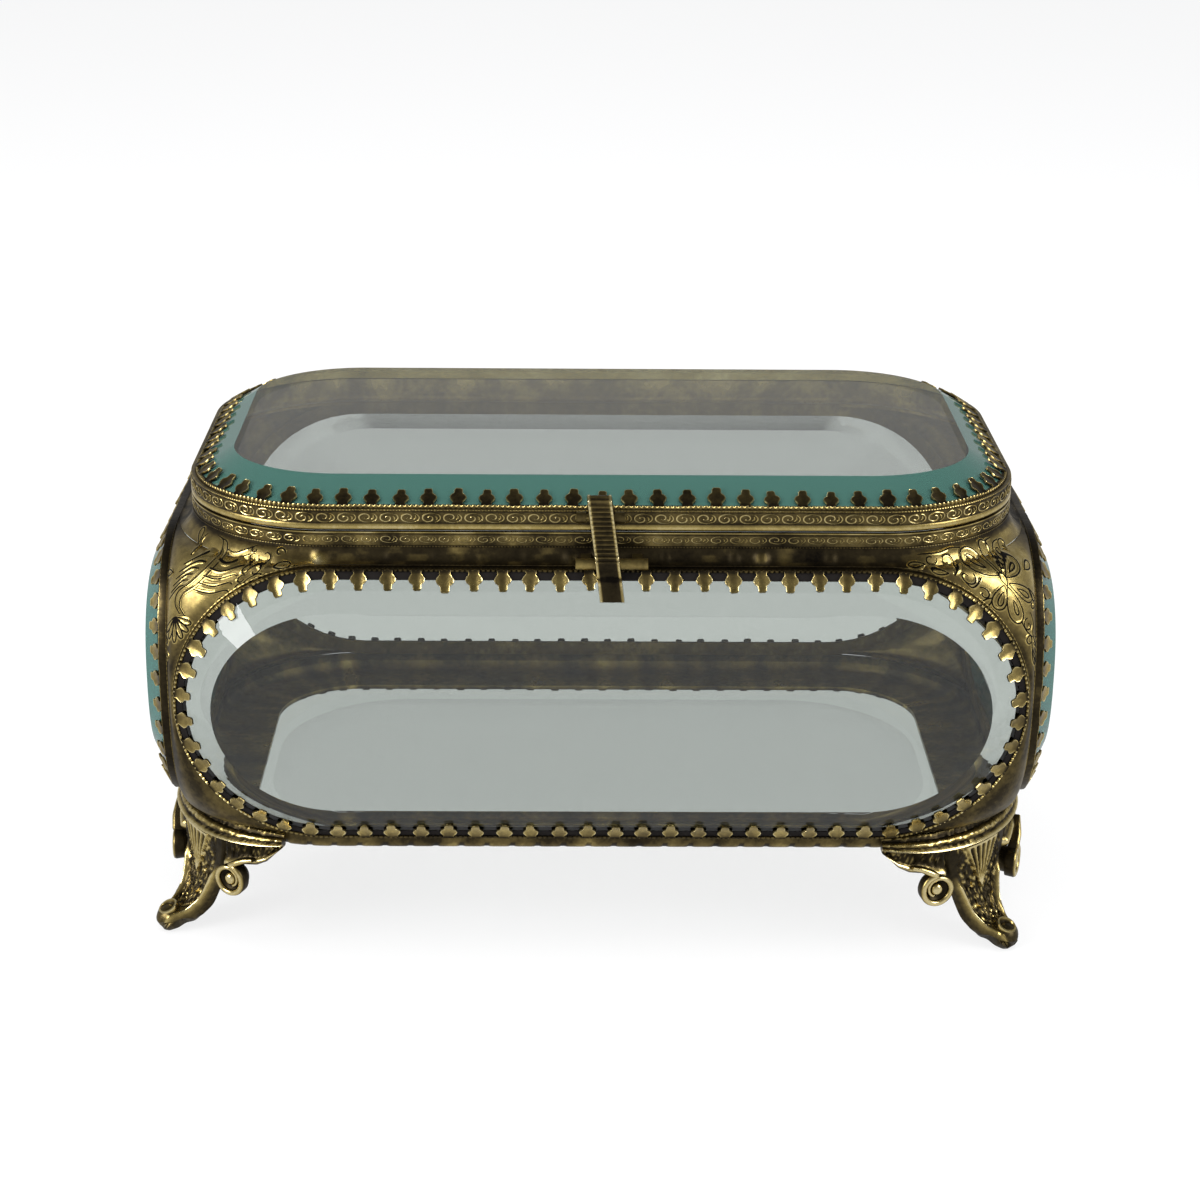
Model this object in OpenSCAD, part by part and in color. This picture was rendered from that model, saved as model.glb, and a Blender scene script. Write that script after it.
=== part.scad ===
// Glass casket box: bevelled glass panels held by pronged strips in a brass frame,
// with a hinged glass lid, a swinging hasp and four cast scroll feet.
// Millimetres, +Z up, the front is -Y. The origin is under the middle, on the table.

/* [Case] */
// Width over the outer faces of the two side glasses
case_w = 165.1; // [158:0.1:175]
// Depth over the outer faces of the front and rear glasses
case_d = 101.6; // [96:0.1:110]
// Height from the table to the top face of the lid glass
case_h = 88.9; // [80:0.1:98]
// Corner radius of the lid and rim, seen from above
band_r = 26; // [22:0.5:30]
// How far the walls stand outside the lid band
overhang = 2.55; // [2:0.05:3.2]
// Thickness of the brass sheet
sheet_t = 0.8; // [0.6:0.05:1]

/* [Windows] */
// Height of the lower edge of the wall windows
window_z = 23.6; // [23:0.1:24.4]
// Width of the corner sheet beside a front window, at its narrowest
pillar_w = 1.55; // [1.2:0.05:2.5]
// Depth of the corner sheet beside a side window, at its narrowest
pillar_d = 3.8; // [2.5:0.1:5]
// Squareness of the side windows' round ends, where 2 is a true ellipse
side_power = 2.5; // [2:0.05:2.7]
// Width of the ledge that each glass rests on
ledge_w = 2.7; // [2:0.1:3.5]

/* [Glass] */
// Thickness of the glass
glass_t = 5; // [4.6:0.1:5.4]
// Thickness left at the edge of the glass, under the bevel
glass_edge = 1.2; // [0.8:0.1:1.5]
// Width of the bevel
bevel_w = 6.4; // [5.5:0.1:7]
// Share of the bevel width by which the flat face's corners tighten
bevel_round = 0.7; // [0.5:0.05:1]
// Gap around each glass
glass_gap = 0.15; // [0.05:0.05:0.2]

/* [Pronged strip] */
// Thickness of the strip
strip_t = 0.5; // [0.4:0.05:0.6]
// Height of the strip above the ledge
strip_h = 1.6; // [1.5:0.05:1.8]
// Spacing of the prongs
prong_pitch = 5; // [4.5:0.1:6]
// Width over a prong's two side lobes
prong_w = 3; // [2.4:0.1:3.4]
// Length of a prong
prong_l = 3.8; // [3.2:0.1:4]
// Thickness of a prong
prong_t = 0.4; // [0.3:0.05:0.5]
// Gap between a prong and the bevel
prong_gap = 0.2; // [0.15:0.05:0.3]

/* [Lid and rim] */
// Height of the lid, from the seam under it to the top face of its glass
lid_h = 7.9; // [7.6:0.1:8.2]
// Gap in the seam
seam_gap = 0.3; // [0.2:0.05:0.4]
// How far the lid band stands above the lid's ledge
band_lip = 1; // [0.8:0.1:1.3]
// Height of the upright rim under the seam
rim_h = 3; // [2.6:0.1:3.4]
// Height of the hollow shoulder between the rim and the wall windows
shoulder_h = 2.55; // [2.2:0.05:3]
// How far the rolled edges stand out
bead_t = 0.2; // [0.1:0.05:0.25]
// Height of the rolled edges
bead_h = 0.7; // [0.5:0.1:0.9]

/* [Base] */
// Height of the underside of the floor
floor_z = 20.3; // [19.6:0.1:20.8]
// Radius of the floor opening's corners
floor_hole_r = 16; // [13:0.5:16.5]
// Width of the floor's ledge over the bottom glass
floor_ledge_w = 2.4; // [2:0.1:2.6]
// Width of the flat border outside the bottom glass
floor_border = 6; // [5:0.5:7]

/* [Hinge] */
// Length of the lid hinge
hinge_l = 40; // [30:1:60]
// Radius of the hinge knuckles
hinge_r = 1.5; // [1.3:0.05:1.6]
// Radius of the hinge pin
hinge_pin_r = 0.75; // [0.6:0.05:0.85]
// Running gap around a pin
pin_gap = 0.05; // [0.03:0.01:0.08]
// Gap between neighbouring knuckles
knuckle_gap = 0.3; // [0.2:0.05:0.4]
// Thickness of the hinge leaves
leaf_t = 0.8; // [0.6:0.05:0.9]
// Height of each hinge leaf
leaf_h = 1.3; // [1:0.1:1.5]

/* [Hasp] */
// How far the hasp's tab reaches down over the front window
tab_drop = 4.9; // [4.4:0.1:5.4]
// Width of the hasp strap
strap_w = 4; // [3.4:0.1:4.6]
// Thickness of the strap
strap_t = 0.8; // [0.6:0.05:0.9]
// Sideways place of the strap's top end
strap_top_x = -0.8; // [-1.2:0.1:0]
// Sideways place of the strap's lower end
strap_low_x = 1.6; // [0.8:0.1:2]
// Height of the hasp pivot over the lid's ledge
pivot_rise = 0.5; // [0.4:0.05:0.6]
// How far the pivot stands in front of the lid band
pivot_out = 2.35; // [2.2:0.05:2.5]
// Outer radius of the pivot knuckles
pivot_r = 1; // [0.9:0.05:1.1]
// Radius of the pivot pin
pivot_pin_r = 0.45; // [0.35:0.05:0.5]
// Length of each knuckle of the hasp bracket
bracket_l = 1.7; // [1.4:0.1:2]
// Radius of the catch tube
catch_r = 1.05; // [0.9:0.05:1.15]
// Length of the catch tube
catch_l = 12.6; // [11:0.1:14]
// Gap between the strap and the catch tube
catch_gap = 0.3; // [0.3:0.05:0.4]
// Spacing of the ribs on the strap
rib_pitch = 0.85; // [0.75:0.05:1]
// Height of the ribs
rib_h = 0.2; // [0.1:0.05:0.25]

/* [Feet] */
// Distance of a toe's sole from the middle of its corner's curve
toe_reach = 36.4; // [34.6:0.2:36.8]
// Radius of the toe, seen from the front
toe_r = 2.4; // [2:0.1:2.8]
// Radius of the scrolls under the wings
scroll_r = 3.1; // [2.6:0.1:3.3]
// Angle from the leg to a scroll, round the corner
scroll_turn = 20; // [18:0.5:22]
// Angle from the leg to the tip of a wing, round the corner
wing_turn = 38; // [34:1:40]
// How far the crown stands outside the walls
crown_out = 4; // [3:0.1:4.4]
// How far the front left foot is set round its corner, towards the side
foot_turn = 13; // [0:1:14]

/* [Hidden] */
$fn = 96;
ARC = 12;            // steps in a quarter turn of a window's outline
COLUMNS = 7;         // steps across a corner sheet
BLEND = 24;          // facets round a blended shape
EPS = 0.01;

// Planes on which the ledges' outer faces lie
seat_x = case_w / 2 - glass_t;
seat_y = case_d / 2 - glass_t;
lid_seat_z = case_h - glass_t;

// Lid band and rim in plan
band_hw = seat_x - overhang;
band_hd = seat_y - overhang;
core_x = band_hw - band_r;
core_y = band_hd - band_r;
wall_r = band_r + overhang;

// Levels
seam_z = case_h - lid_h;
rim_top = seam_z - seam_gap / 2;
rim_low = rim_top - rim_h;
band_low = seam_z + seam_gap / 2;
band_top = lid_seat_z + band_lip;
window_top = rim_low - shoulder_h;
window_h = window_top - window_z;
window_mid = window_z + window_h / 2;
floor_top = floor_z + sheet_t;

// Window outlines: half width and corner radii
front_hw = seat_x - pillar_w;
side_hw = seat_y - pillar_d;
end_h = window_h / 2;
front_end = front_hw - core_x;
side_end = side_hw - core_y;
lid_r = band_r - sheet_t;
floor_glass_r = floor_hole_r + floor_ledge_w;
hem = strip_t + glass_gap;
bevel_tilt = atan((glass_t - glass_edge) / bevel_w);

// Hinge at the rear seam
hinge_y = band_hd + bead_t + hinge_r + 0.1;
knuckles = 5;
knuckle_l = (hinge_l - (knuckles - 1) * knuckle_gap) / knuckles;
leaf_clear = hinge_r + 0.3;

// Hasp and catch at the front
pivot_y = -(band_hd + pivot_out);
pivot_z = lid_seat_z + pivot_rise;
catch_y = -(seat_y + strip_h);
catch_z = window_top + catch_r + 0.05;
catch_x = 1.5;
strap_top_z = case_h - 0.05;
strap_low_z = window_top - tab_drop;
bracket_x = (strap_top_x + strap_at(pivot_z)) / 2;
bracket_in = strap_w / 2 + 0.5;

BRASS = [0.55, 0.45, 0.22];
OLD_BRASS = [0.40, 0.33, 0.18];
BRIGHT_BRASS = [0.72, 0.60, 0.30];
GLASS = [0.60, 0.78, 0.75, 0.45];

// ---- Outlines ----

// Width left of a round end at a share of its height; a power of 2 is an ellipse
function bulge(share, power) = pow(max(0, 1 - pow(abs(share), power)), 1 / power);

// Closed outline of a panel with round ends, drawn in by an inset. The size lists the
// half width, half height, width and height of an end's quarter, and its power.
function outline(size, inset = 0, tighten = 1) =
    let (rx = size[2] - inset * tighten, ry = size[3] - inset,
        cx = size[0] - inset - rx, cy = size[1] - inset - ry)
    [for (quarter = [0:3], step = [0:ARC])
        let (angle = 90 * (quarter + step / ARC))
        [(quarter == 0 || quarter == 3 ? 1 : -1) * (cx + rx * bulge(sin(angle), size[4])),
            (quarter < 2 ? cy : -cy) + ry * sin(angle)]];

// Distances along a closed outline up to each of its points
function mileage(path) =
    [for (i = 0, s = 0; i <= len(path);
        s = s + norm(path[(i + 1) % len(path)] - path[i % len(path)]), i = i + 1) s];

// Table that turns a distance along the outline into one coordinate
function track(path, miles, axis) =
    [for (i = [0:len(path)]) [miles[i], path[i % len(path)][axis]]];

// Sizes of the outlines of the six openings
front_size = [front_hw, end_h, front_end, end_h, 2];
side_size = [side_hw, end_h, side_end, end_h, side_power];
lid_size = [band_hw - sheet_t, band_hd - sheet_t, lid_r, lid_r, 2];
base_size = [core_x + floor_glass_r + hem, core_y + floor_glass_r + hem,
    floor_glass_r + hem, floor_glass_r + hem, 2];

module panel_outline(size, inset = 0, tighten = 1) {
    polygon(outline(size, inset, tighten));
}

// ---- Placing ----

// Puts a panel drawn flat, with its outer side up, on one of the six sides
module on_side(side) {
    if (side == "front")
        translate([0, -seat_y, window_mid]) rotate([90, 0, 0]) children();
    if (side == "rear")
        translate([0, seat_y, window_mid]) rotate([90, 0, 180]) children();
    if (side == "right")
        translate([seat_x, 0, window_mid]) rotate([90, 0, 90]) children();
    if (side == "left")
        translate([-seat_x, 0, window_mid]) rotate([90, 0, -90]) children();
    if (side == "lid")
        translate([0, 0, lid_seat_z]) children();
    if (side == "base")
        translate([0, 0, floor_z]) rotate([180, 0, 0]) children();
}

// Carries a profile, drawn as [distance from the core rectangle, height], round the box
module sweep_ring() {
    for (x = [0, 1], y = [0, 1])
        mirror([x, 0, 0]) mirror([0, y, 0]) translate([core_x, core_y, 0])
            rotate_extrude(angle = 90) children();
    for (turn = [0, 180]) rotate(turn) {
        translate([-core_x, core_y, 0])
            rotate([90, 0, 90]) linear_extrude(2 * core_x) children();
        translate([core_x, core_y, 0])
            rotate([90, 0, 0]) linear_extrude(2 * core_y) children();
    }
}

// Repeats a piece drawn at the front right corner at another corner
module at_corner(left, rear) {
    mirror([left ? 1 : 0, 0, 0]) mirror([0, rear ? 0 : 1, 0]) children();
}

// ---- Glass and the pieces that hold it ----

module bevelled_glass(side, size) {
    color(GLASS) on_side(side) hull() {
        linear_extrude(glass_edge) panel_outline(size, hem);
        linear_extrude(glass_t) panel_outline(size, hem + bevel_w, bevel_round);
    }
}

// Flat oval ring behind the edge of a glass
module ledge(side, size) {
    color(OLD_BRASS) on_side(side) translate([0, 0, -sheet_t])
        linear_extrude(sheet_t) difference() {
            panel_outline(size);
            panel_outline(size, ledge_w);
        }
}

// Flat shape of one prong: a stem, two side lobes and a round-ended tip
module prong_shape() {
    stem = 0.32 * prong_w;
    lobe = prong_w / 2;
    waist = 0.24 * prong_w;
    polygon([[-stem, 0], [stem, 0], [stem, 0.32 * prong_l], [lobe, 0.46 * prong_l],
        [0.9 * lobe, 0.62 * prong_l], [waist, 0.7 * prong_l], [waist, 0.93 * prong_l],
        [0.5 * waist, prong_l], [-0.5 * waist, prong_l], [-waist, 0.93 * prong_l],
        [-waist, 0.7 * prong_l], [-0.9 * lobe, 0.62 * prong_l], [-lobe, 0.46 * prong_l],
        [-stem, 0.32 * prong_l]]);
}

// Upright strip round a glass, with prongs folded over its bevel. Prongs whose
// place lies in the free span [low x, high x] of the upper edge are left out.
module pronged_strip(side, size, free_span = [0, 0]) {
    middle = outline(size, strip_t / 2);
    miles = mileage(middle);
    round_trip = miles[len(middle)];
    count = round(round_trip / prong_pitch);
    xs = track(middle, miles, 0);
    ys = track(middle, miles, 1);
    step = round_trip / count;
    root = glass_edge + prong_gap - (hem - strip_t / 2) * tan(bevel_tilt);
    color(BRIGHT_BRASS) on_side(side) {
        linear_extrude(strip_h) difference() {
            panel_outline(size);
            panel_outline(size, strip_t);
        }
        for (i = [0:count - 1]) {
            s = (i + 0.5) * step;
            place = [lookup(s, xs), lookup(s, ys)];
            ahead = [lookup(s + step / 25, xs), lookup(s + step / 25, ys)];
            heading = atan2(ahead[1] - place[1], ahead[0] - place[0]);
            free = place[1] > 0 && place[0] > free_span[0] && place[0] < free_span[1];
            if (!free)
                translate([place[0], place[1], root]) rotate(heading)
                    rotate([bevel_tilt, 0, 0]) linear_extrude(prong_t) prong_shape();
        }
    }
}

// ---- Lid ----

module lid_band() {
    r = band_r;
    color(BRASS) sweep_ring() polygon([
        [r - sheet_t, band_low], [r + bead_t, band_low], [r + bead_t, band_low + bead_h],
        [r, band_low + bead_h], [r, band_top - bead_h / 2], [r + bead_t, band_top - bead_h / 2],
        [r + bead_t, band_top], [r - sheet_t, band_top]]);
}

module lid_ledge() {
    color(OLD_BRASS) sweep_ring() polygon([
        [lid_r - ledge_w, lid_seat_z - sheet_t], [lid_r, lid_seat_z - sheet_t],
        [lid_r, lid_seat_z], [lid_r - ledge_w, lid_seat_z]]);
}

module lid_glass() {
    bevelled_glass("lid", lid_size);
}

module lid_strip() {
    pronged_strip("lid", lid_size);
}

// ---- Case ----

// Upright rim under the seam and the hollow shoulder that joins it to the walls
module rim() {
    r = band_r;
    shoulder = [for (i = [0:6]) let (a = 90 * i / 6)
        [wall_r - overhang * cos(a), rim_low - shoulder_h * sin(a)]];
    inside = [for (i = [6:-1:0]) let (a = 90 * i / 6)
        [wall_r - sheet_t - overhang * cos(a), rim_low - shoulder_h * sin(a)]];
    color(BRASS) sweep_ring() polygon(concat(
        [[r - sheet_t, rim_top], [r + bead_t, rim_top], [r + bead_t, rim_top - bead_h / 2],
            [r, rim_top - bead_h / 2]], shoulder, inside));
}

// Points across a corner sheet at one level of the windows' round ends. Each level
// is a conic from the front window's edge to the side window's edge; at the top and
// the bottom it is a quarter circle, and half way up it is narrow.
function corner_level(angle, inset) =
    let (a = [front_hw - front_end * (1 - cos(angle)), seat_y - inset],
        b = [seat_x - inset, side_hw - side_end * (1 - bulge(sin(angle), side_power))],
        k = [seat_x - inset, seat_y - inset],
        z = window_mid + end_h * sin(angle))
    [for (i = [0:COLUMNS]) let (t = i / COLUMNS, u = 1 - t,
        w = 2 * cos(45) * t * u,
        p = (u * u * a + w * k + t * t * b) / (u * u + w + t * t))
        [p[0], p[1], z]];

module corner_sheet() {
    rows = 2 * ARC + 1;
    wide = COLUMNS + 1;
    levels = [for (i = [0:rows - 1]) 90 * (i / ARC - 1)];
    outer = [for (a = levels) each corner_level(a, 0)];
    inner = [for (a = levels) each corner_level(a, sheet_t)];
    back = rows * wide;
    skin = [for (i = [0:rows - 2], j = [0:wide - 2])
        let (p = i * wide + j, q = p + wide)
        each [[p, q, q + 1], [p, q + 1, p + 1],
            [back + p, back + q + 1, back + q], [back + p, back + p + 1, back + q + 1]]];
    sides = [for (i = [0:rows - 2]) let (p = i * wide, q = p + wide, r = p + wide - 1, s = q + wide - 1)
        each [[p, back + p, back + q], [p, back + q, q],
            [r, back + s, back + r], [r, s, back + s]]];
    ends = [for (j = [0:wide - 2]) let (p = j, q = (rows - 1) * wide + j)
        each [[p, p + 1, back + p + 1], [p, back + p + 1, back + p],
            [q, back + q + 1, q + 1], [q, back + q, back + q + 1]]];
    polyhedron(concat(outer, inner), concat(skin, sides, ends));
}

module corner_front_left() {
    color(OLD_BRASS) at_corner(true, false) corner_sheet();
}

module corner_front_right() {
    color(OLD_BRASS) at_corner(false, false) corner_sheet();
}

module corner_rear_left() {
    color(OLD_BRASS) at_corner(true, true) corner_sheet();
}

module corner_rear_right() {
    color(OLD_BRASS) at_corner(false, true) corner_sheet();
}

module front_ledge() {
    ledge("front", front_size);
}

module rear_ledge() {
    ledge("rear", front_size);
}

module left_ledge() {
    ledge("left", side_size);
}

module right_ledge() {
    ledge("right", side_size);
}

module front_glass() {
    bevelled_glass("front", front_size);
}

module rear_glass() {
    bevelled_glass("rear", front_size);
}

module left_glass() {
    bevelled_glass("left", side_size);
}

module right_glass() {
    bevelled_glass("right", side_size);
}

module front_strip() {
    reach = (strap_w + prong_w) / 2;
    pronged_strip("front", front_size, [strap_low_x - reach, strap_low_x + reach]);
}

module rear_strip() {
    pronged_strip("rear", front_size);
}

module left_strip() {
    pronged_strip("left", side_size);
}

module right_strip() {
    pronged_strip("right", side_size);
}

// Floor ring with a rounded edge that turns up to meet the walls
cove_turn = wall_r - floor_glass_r - floor_border;
cove_drop = window_z - floor_z;
module base_frame() {
    outer = [for (i = [0:6]) let (a = 90 * i / 6)
        [wall_r - cove_turn * (1 - cos(a)), window_z - cove_drop * sin(a)]];
    inner = [for (i = [6:-1:0]) let (a = 90 * i / 6)
        [wall_r - sheet_t - (cove_turn - sheet_t) * (1 - cos(a)),
            window_z - (cove_drop - sheet_t) * sin(a)]];
    color(OLD_BRASS) sweep_ring() polygon(concat(outer,
        [[floor_hole_r, floor_z], [floor_hole_r, floor_top]], inner));
}

module base_glass() {
    bevelled_glass("base", base_size);
}

module base_strip() {
    pronged_strip("base", base_size);
}

// ---- Hinge ----

// One knuckle of the lid hinge, counted from the left
module hinge_knuckle(i) {
    translate([-hinge_l / 2 + i * (knuckle_l + knuckle_gap), hinge_y, seam_z])
        rotate([0, 90, 0]) cylinder(r = hinge_r, h = knuckle_l);
}

// Leaf over or under the seam, with a tab down to each of its own knuckles
module hinge_leaf(own, up) {
    face_y = band_hd + bead_t + 0.05;
    difference() {
        union() {
            translate([-hinge_l / 2, band_hd, up > 0 ? seam_z + leaf_clear : seam_z - leaf_clear - leaf_h])
                cube([hinge_l, leaf_t + bead_t + 0.05, leaf_h]);
            for (i = own) {
                hinge_knuckle(i);
                translate([-hinge_l / 2 + i * (knuckle_l + knuckle_gap), face_y,
                    up > 0 ? seam_z + seam_gap : seam_z - leaf_clear - EPS])
                    cube([knuckle_l, leaf_t, leaf_clear + EPS - seam_gap]);
            }
        }
        translate([-hinge_l, hinge_y, seam_z])
            rotate([0, 90, 0]) cylinder(r = hinge_pin_r + pin_gap, h = 2 * hinge_l);
    }
}

module lid_hinge_leaf() {
    color(BRASS) hinge_leaf([1, 3], 1);
}

module case_hinge_leaf() {
    color(BRASS) hinge_leaf([0, 2, 4], -1);
}

module hinge_pin() {
    head_t = 0.5;
    head_gap = 0.1;
    color(BRIGHT_BRASS) translate([0, hinge_y, seam_z]) rotate([0, 90, 0]) {
        cylinder(r = hinge_pin_r, h = hinge_l + 2 * (head_gap + head_t), center = true);
        for (end = [0, 1]) mirror([0, 0, end]) translate([0, 0, hinge_l / 2 + head_gap])
            cylinder(r = hinge_pin_r + 0.35, h = head_t);
    }
}

// ---- Hasp ----

// Sideways place of the middle of the leaning strap at a height
function strap_at(z) = strap_top_x
    + (strap_low_x - strap_top_x) * (strap_top_z - z) / (strap_top_z - strap_low_z);

// Points of an arc: centre, radius, first angle, last angle
function arc(c, r, from, to, steps) =
    [for (i = [0:steps]) let (a = from + (to - from) * i / steps) c + r * [cos(a), sin(a)]];

// Middle line of the strap seen from the right, as [y, z]: up from the pivot, over
// its round top, down the front, round the catch tube, in below it and out to the tab
curl_r = 1.35;
strap_y = pivot_y - 2 * curl_r + 0.1;
curl_top = strap_top_z - strap_t / 2;
hug_r = catch_r + catch_gap + strap_t / 2;
strap_path = concat(
    [[pivot_y, pivot_z]],
    arc([strap_y + curl_r, curl_top - curl_r], curl_r, 0, 180, 10),
    [[strap_y, catch_z + hug_r + 0.6]],
    arc([catch_y, catch_z], hug_r, 155, 205, 5),
    [[catch_y - hug_r + 0.1, catch_z - 1.9],
        [catch_y - hug_r - 0.1, window_top - 2.3],
        [-case_d / 2 + strap_t / 2 + 0.05, strap_low_z]]);

// Unit normal of a path at a point, to its left
function side_of(path, i) =
    let (a = path[max(i - 1, 0)], b = path[min(i + 1, len(path) - 1)], d = (b - a) / norm(b - a))
    [-d[1], d[0]];

// Ribbon of even thickness along a path
function ribbon(path, t) = concat(
    [for (i = [0:len(path) - 1]) path[i] + side_of(path, i) * t / 2],
    [for (i = [len(path) - 1:-1:0]) path[i] - side_of(path, i) * t / 2]);

// Turns a shape drawn as [y, z] into a bar along x
module bar(x, l) {
    translate([x, 0, 0]) rotate([90, 0, 90]) linear_extrude(l) children();
}

module hasp_strap() {
    span = strap_w + 8;
    ribs = floor((curl_top - curl_r - catch_z - hug_r - 0.6) / rib_pitch);
    rib_w = 0.5 * rib_pitch;
    half = strap_w / 2;
    color(BRASS) difference() {
        union() {
            intersection() {
                bar(-span / 2, span) {
                    polygon(ribbon(strap_path, strap_t));
                    for (i = [0:ribs])
                        translate([strap_y - strap_t / 2 - rib_h,
                            curl_top - curl_r - i * rib_pitch - rib_w / 2])
                            square([rib_h + EPS, rib_w]);
                }
                rotate([90, 0, 0]) linear_extrude(2 * case_d, center = true)
                    polygon([[strap_at(case_h) - half, case_h], [strap_at(case_h) + half, case_h],
                        [strap_low_x + half, strap_low_z - 1], [strap_low_x - half, strap_low_z - 1]]);
            }
            translate([bracket_x - half, pivot_y, pivot_z])
                rotate([0, 90, 0]) cylinder(r = pivot_r, h = strap_w);
        }
        translate([-span, pivot_y, pivot_z])
            rotate([0, 90, 0]) cylinder(r = pivot_pin_r + pin_gap, h = 2 * span);
    }
}

module hasp_pin() {
    l = 2 * (bracket_in + bracket_l) + 0.4;
    color(BRIGHT_BRASS) translate([bracket_x - l / 2, pivot_y, pivot_z])
        rotate([0, 90, 0]) cylinder(r = pivot_pin_r, h = l);
}

// Two knuckles beside the strap, each carried from the lid band by a short arm
module hasp_bracket() {
    arm_h = 1.1;
    color(BRASS) difference() {
        for (x = [bracket_x - bracket_in - bracket_l, bracket_x + bracket_in])
            translate([x, 0, 0]) {
                translate([0, pivot_y, pivot_z])
                    rotate([0, 90, 0]) cylinder(r = pivot_r, h = bracket_l);
                translate([0, pivot_y, pivot_z - pivot_r])
                    cube([bracket_l, pivot_out, arm_h]);
            }
        translate([-strap_w * 3, pivot_y, pivot_z])
            rotate([0, 90, 0]) cylinder(r = pivot_pin_r + pin_gap, h = strap_w * 6);
    }
}

// Tube across the front that the strap closes over
module catch_tube() {
    wall = 0.4;
    color(BRIGHT_BRASS) translate([catch_x - catch_l / 2, catch_y, catch_z]) rotate([0, 90, 0])
        difference() {
            cylinder(r = catch_r, h = catch_l);
            translate([0, 0, -1]) cylinder(r = catch_r - wall, h = catch_l + 2);
        }
}

// Two solder legs from the tube back to the shoulder
module catch_legs() {
    leg_w = 1.8;
    inset = 0.9;
    color(OLD_BRASS) difference() {
        for (x = [catch_x - catch_l / 2 + inset, catch_x + catch_l / 2 - inset - leg_w])
            translate([x, catch_y, catch_z - 0.6])
                cube([leg_w, overhang + strip_h, 1.2]);
        translate([-case_w, catch_y, catch_z])
            rotate([0, 90, 0]) cylinder(r = catch_r, h = 2 * case_w);
        rim_block();
    }
}

// Space filled by the rim and the inside of the box, for pieces that end on it
module rim_block() {
    sweep_ring() polygon(concat([[0, window_top - 1], [0, rim_top], [band_r, rim_top]],
        [for (i = [0:6]) let (a = 90 * i / 6)
            [wall_r - overhang * cos(a), rim_low - shoulder_h * sin(a)]],
        [[wall_r, window_top - 1]]));
}

// ---- Feet ----

// Height on a foot, as a share of the floor's height
function rise(share) = floor_z * share;

// Section of a foot through its leg, as [distance from the corner's centre, height]
flange_r = floor_glass_r + hem + 0.6;
scroll_out = wall_r + crown_out + 0.8;
foot_section = concat(
    // Under the floor and up the wall
    [[flange_r, rise(0.91)], [flange_r, floor_z], [flange_r + 1, window_z - 1]],
    // Two round mouldings of the crown
    arc([wall_r + crown_out - 2.4, rise(0.96)], 2.4, 80, -60, 8),
    arc([wall_r + crown_out - 1.5, rise(0.775)], 1.2, 40, -80, 5),
    // Front of the leg, down to the toe
    [[wall_r + 2.5, rise(0.66)], [wall_r + 2.2, rise(0.55)], [wall_r + 2.5, rise(0.45)],
        [wall_r + 3.4, rise(0.34)], [toe_reach - 3.2, rise(0.26)], [toe_reach - 1.4, rise(0.225)]],
    arc([toe_reach + 0.2, toe_r], toe_r, 100, -60, 10),
    // Sole and back of the leg
    [[toe_reach + 1.2, 0], [toe_reach - 1.2, 0], [toe_reach - 4, rise(0.07)],
        [toe_reach - 6.6, rise(0.2)], [wall_r + 0.1, rise(0.37)], [wall_r - 1, rise(0.55)],
        [wall_r - 1.6, rise(0.7)], [wall_r - 4, rise(0.8)]]);

// Face of a foot seen along its leg, as [distance to the side, height]
module foot_face() {
    tip = (wall_r + crown_out) * sin(wing_turn);
    for (side = [0, 1]) mirror([side, 0])
        polygon([[-EPS, case_h], [tip, case_h], [tip, rise(0.96)], [tip - 5, rise(0.77)],
            [tip - 7, rise(0.75)], [0.5 * tip, rise(0.6)], [0.34 * tip, rise(0.52)],
            [0.25 * tip, rise(0.4)], [0.19 * tip, rise(0.28)], [0.85 * toe_r, toe_r * 1.4],
            [0.7 * toe_r, 0], [-EPS, 0]]);
    translate([0, toe_r]) circle(toe_r);
}

// Foot of the rear right corner, with the corner's centre on the z axis
module foot_form() {
    deep = toe_reach + toe_r + 1;
    intersection() {
        rotate(45 - wing_turn) rotate_extrude(angle = 2 * wing_turn) polygon(foot_section);
        rotate(135) rotate([90, 0, 0]) linear_extrude(deep) foot_face();
    }
    for (side = [-1, 1])
        rotate(45 + side * scroll_turn) translate([wall_r - 0.4, 0, rise(0.64)])
            rotate([0, 90, 0]) cylinder(r = scroll_r, h = scroll_out - wall_r + 0.4);
}

// Space filled by the bottom of the box, for pieces that end on it
module base_block() {
    fit = 0.15;
    sweep_ring() polygon(concat([[0, floor_z]],
        [for (i = [6:-1:0]) let (a = 90 * i / 6)
            [wall_r + fit - cove_turn * (1 - cos(a)), window_z - fit - cove_drop * sin(a)]],
        [[wall_r + fit, case_h], [0, case_h]]));
}

module foot(left, rear, turn = 0) {
    color(BRASS) mirror([left ? 1 : 0, 0, 0]) mirror([0, rear ? 0 : 1, 0]) difference() {
        translate([core_x, core_y, 0]) rotate(-turn) foot_form();
        base_block();
    }
}

module foot_front_left() {
    foot(true, false, foot_turn);
}

module foot_front_right() {
    foot(false, false);
}

module foot_rear_left() {
    foot(true, true);
}

module foot_rear_right() {
    foot(false, true);
}

// ---- Drawing ----

lid_band();
lid_ledge();
lid_glass();
lid_strip();
lid_hinge_leaf();
hasp_bracket();
hasp_pin();
hasp_strap();
rim();
case_hinge_leaf();
hinge_pin();
catch_tube();
catch_legs();
corner_front_left();
corner_front_right();
corner_rear_left();
corner_rear_right();
front_ledge();
rear_ledge();
left_ledge();
right_ledge();
front_glass();
rear_glass();
left_glass();
right_glass();
front_strip();
rear_strip();
left_strip();
right_strip();
base_frame();
base_glass();
base_strip();
foot_front_left();
foot_front_right();
foot_rear_left();
foot_rear_right();
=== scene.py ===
import math

import bpy
import numpy as np
from bpy.props import FloatProperty, FloatVectorProperty, PointerProperty
from mathutils import Matrix, Vector


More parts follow.
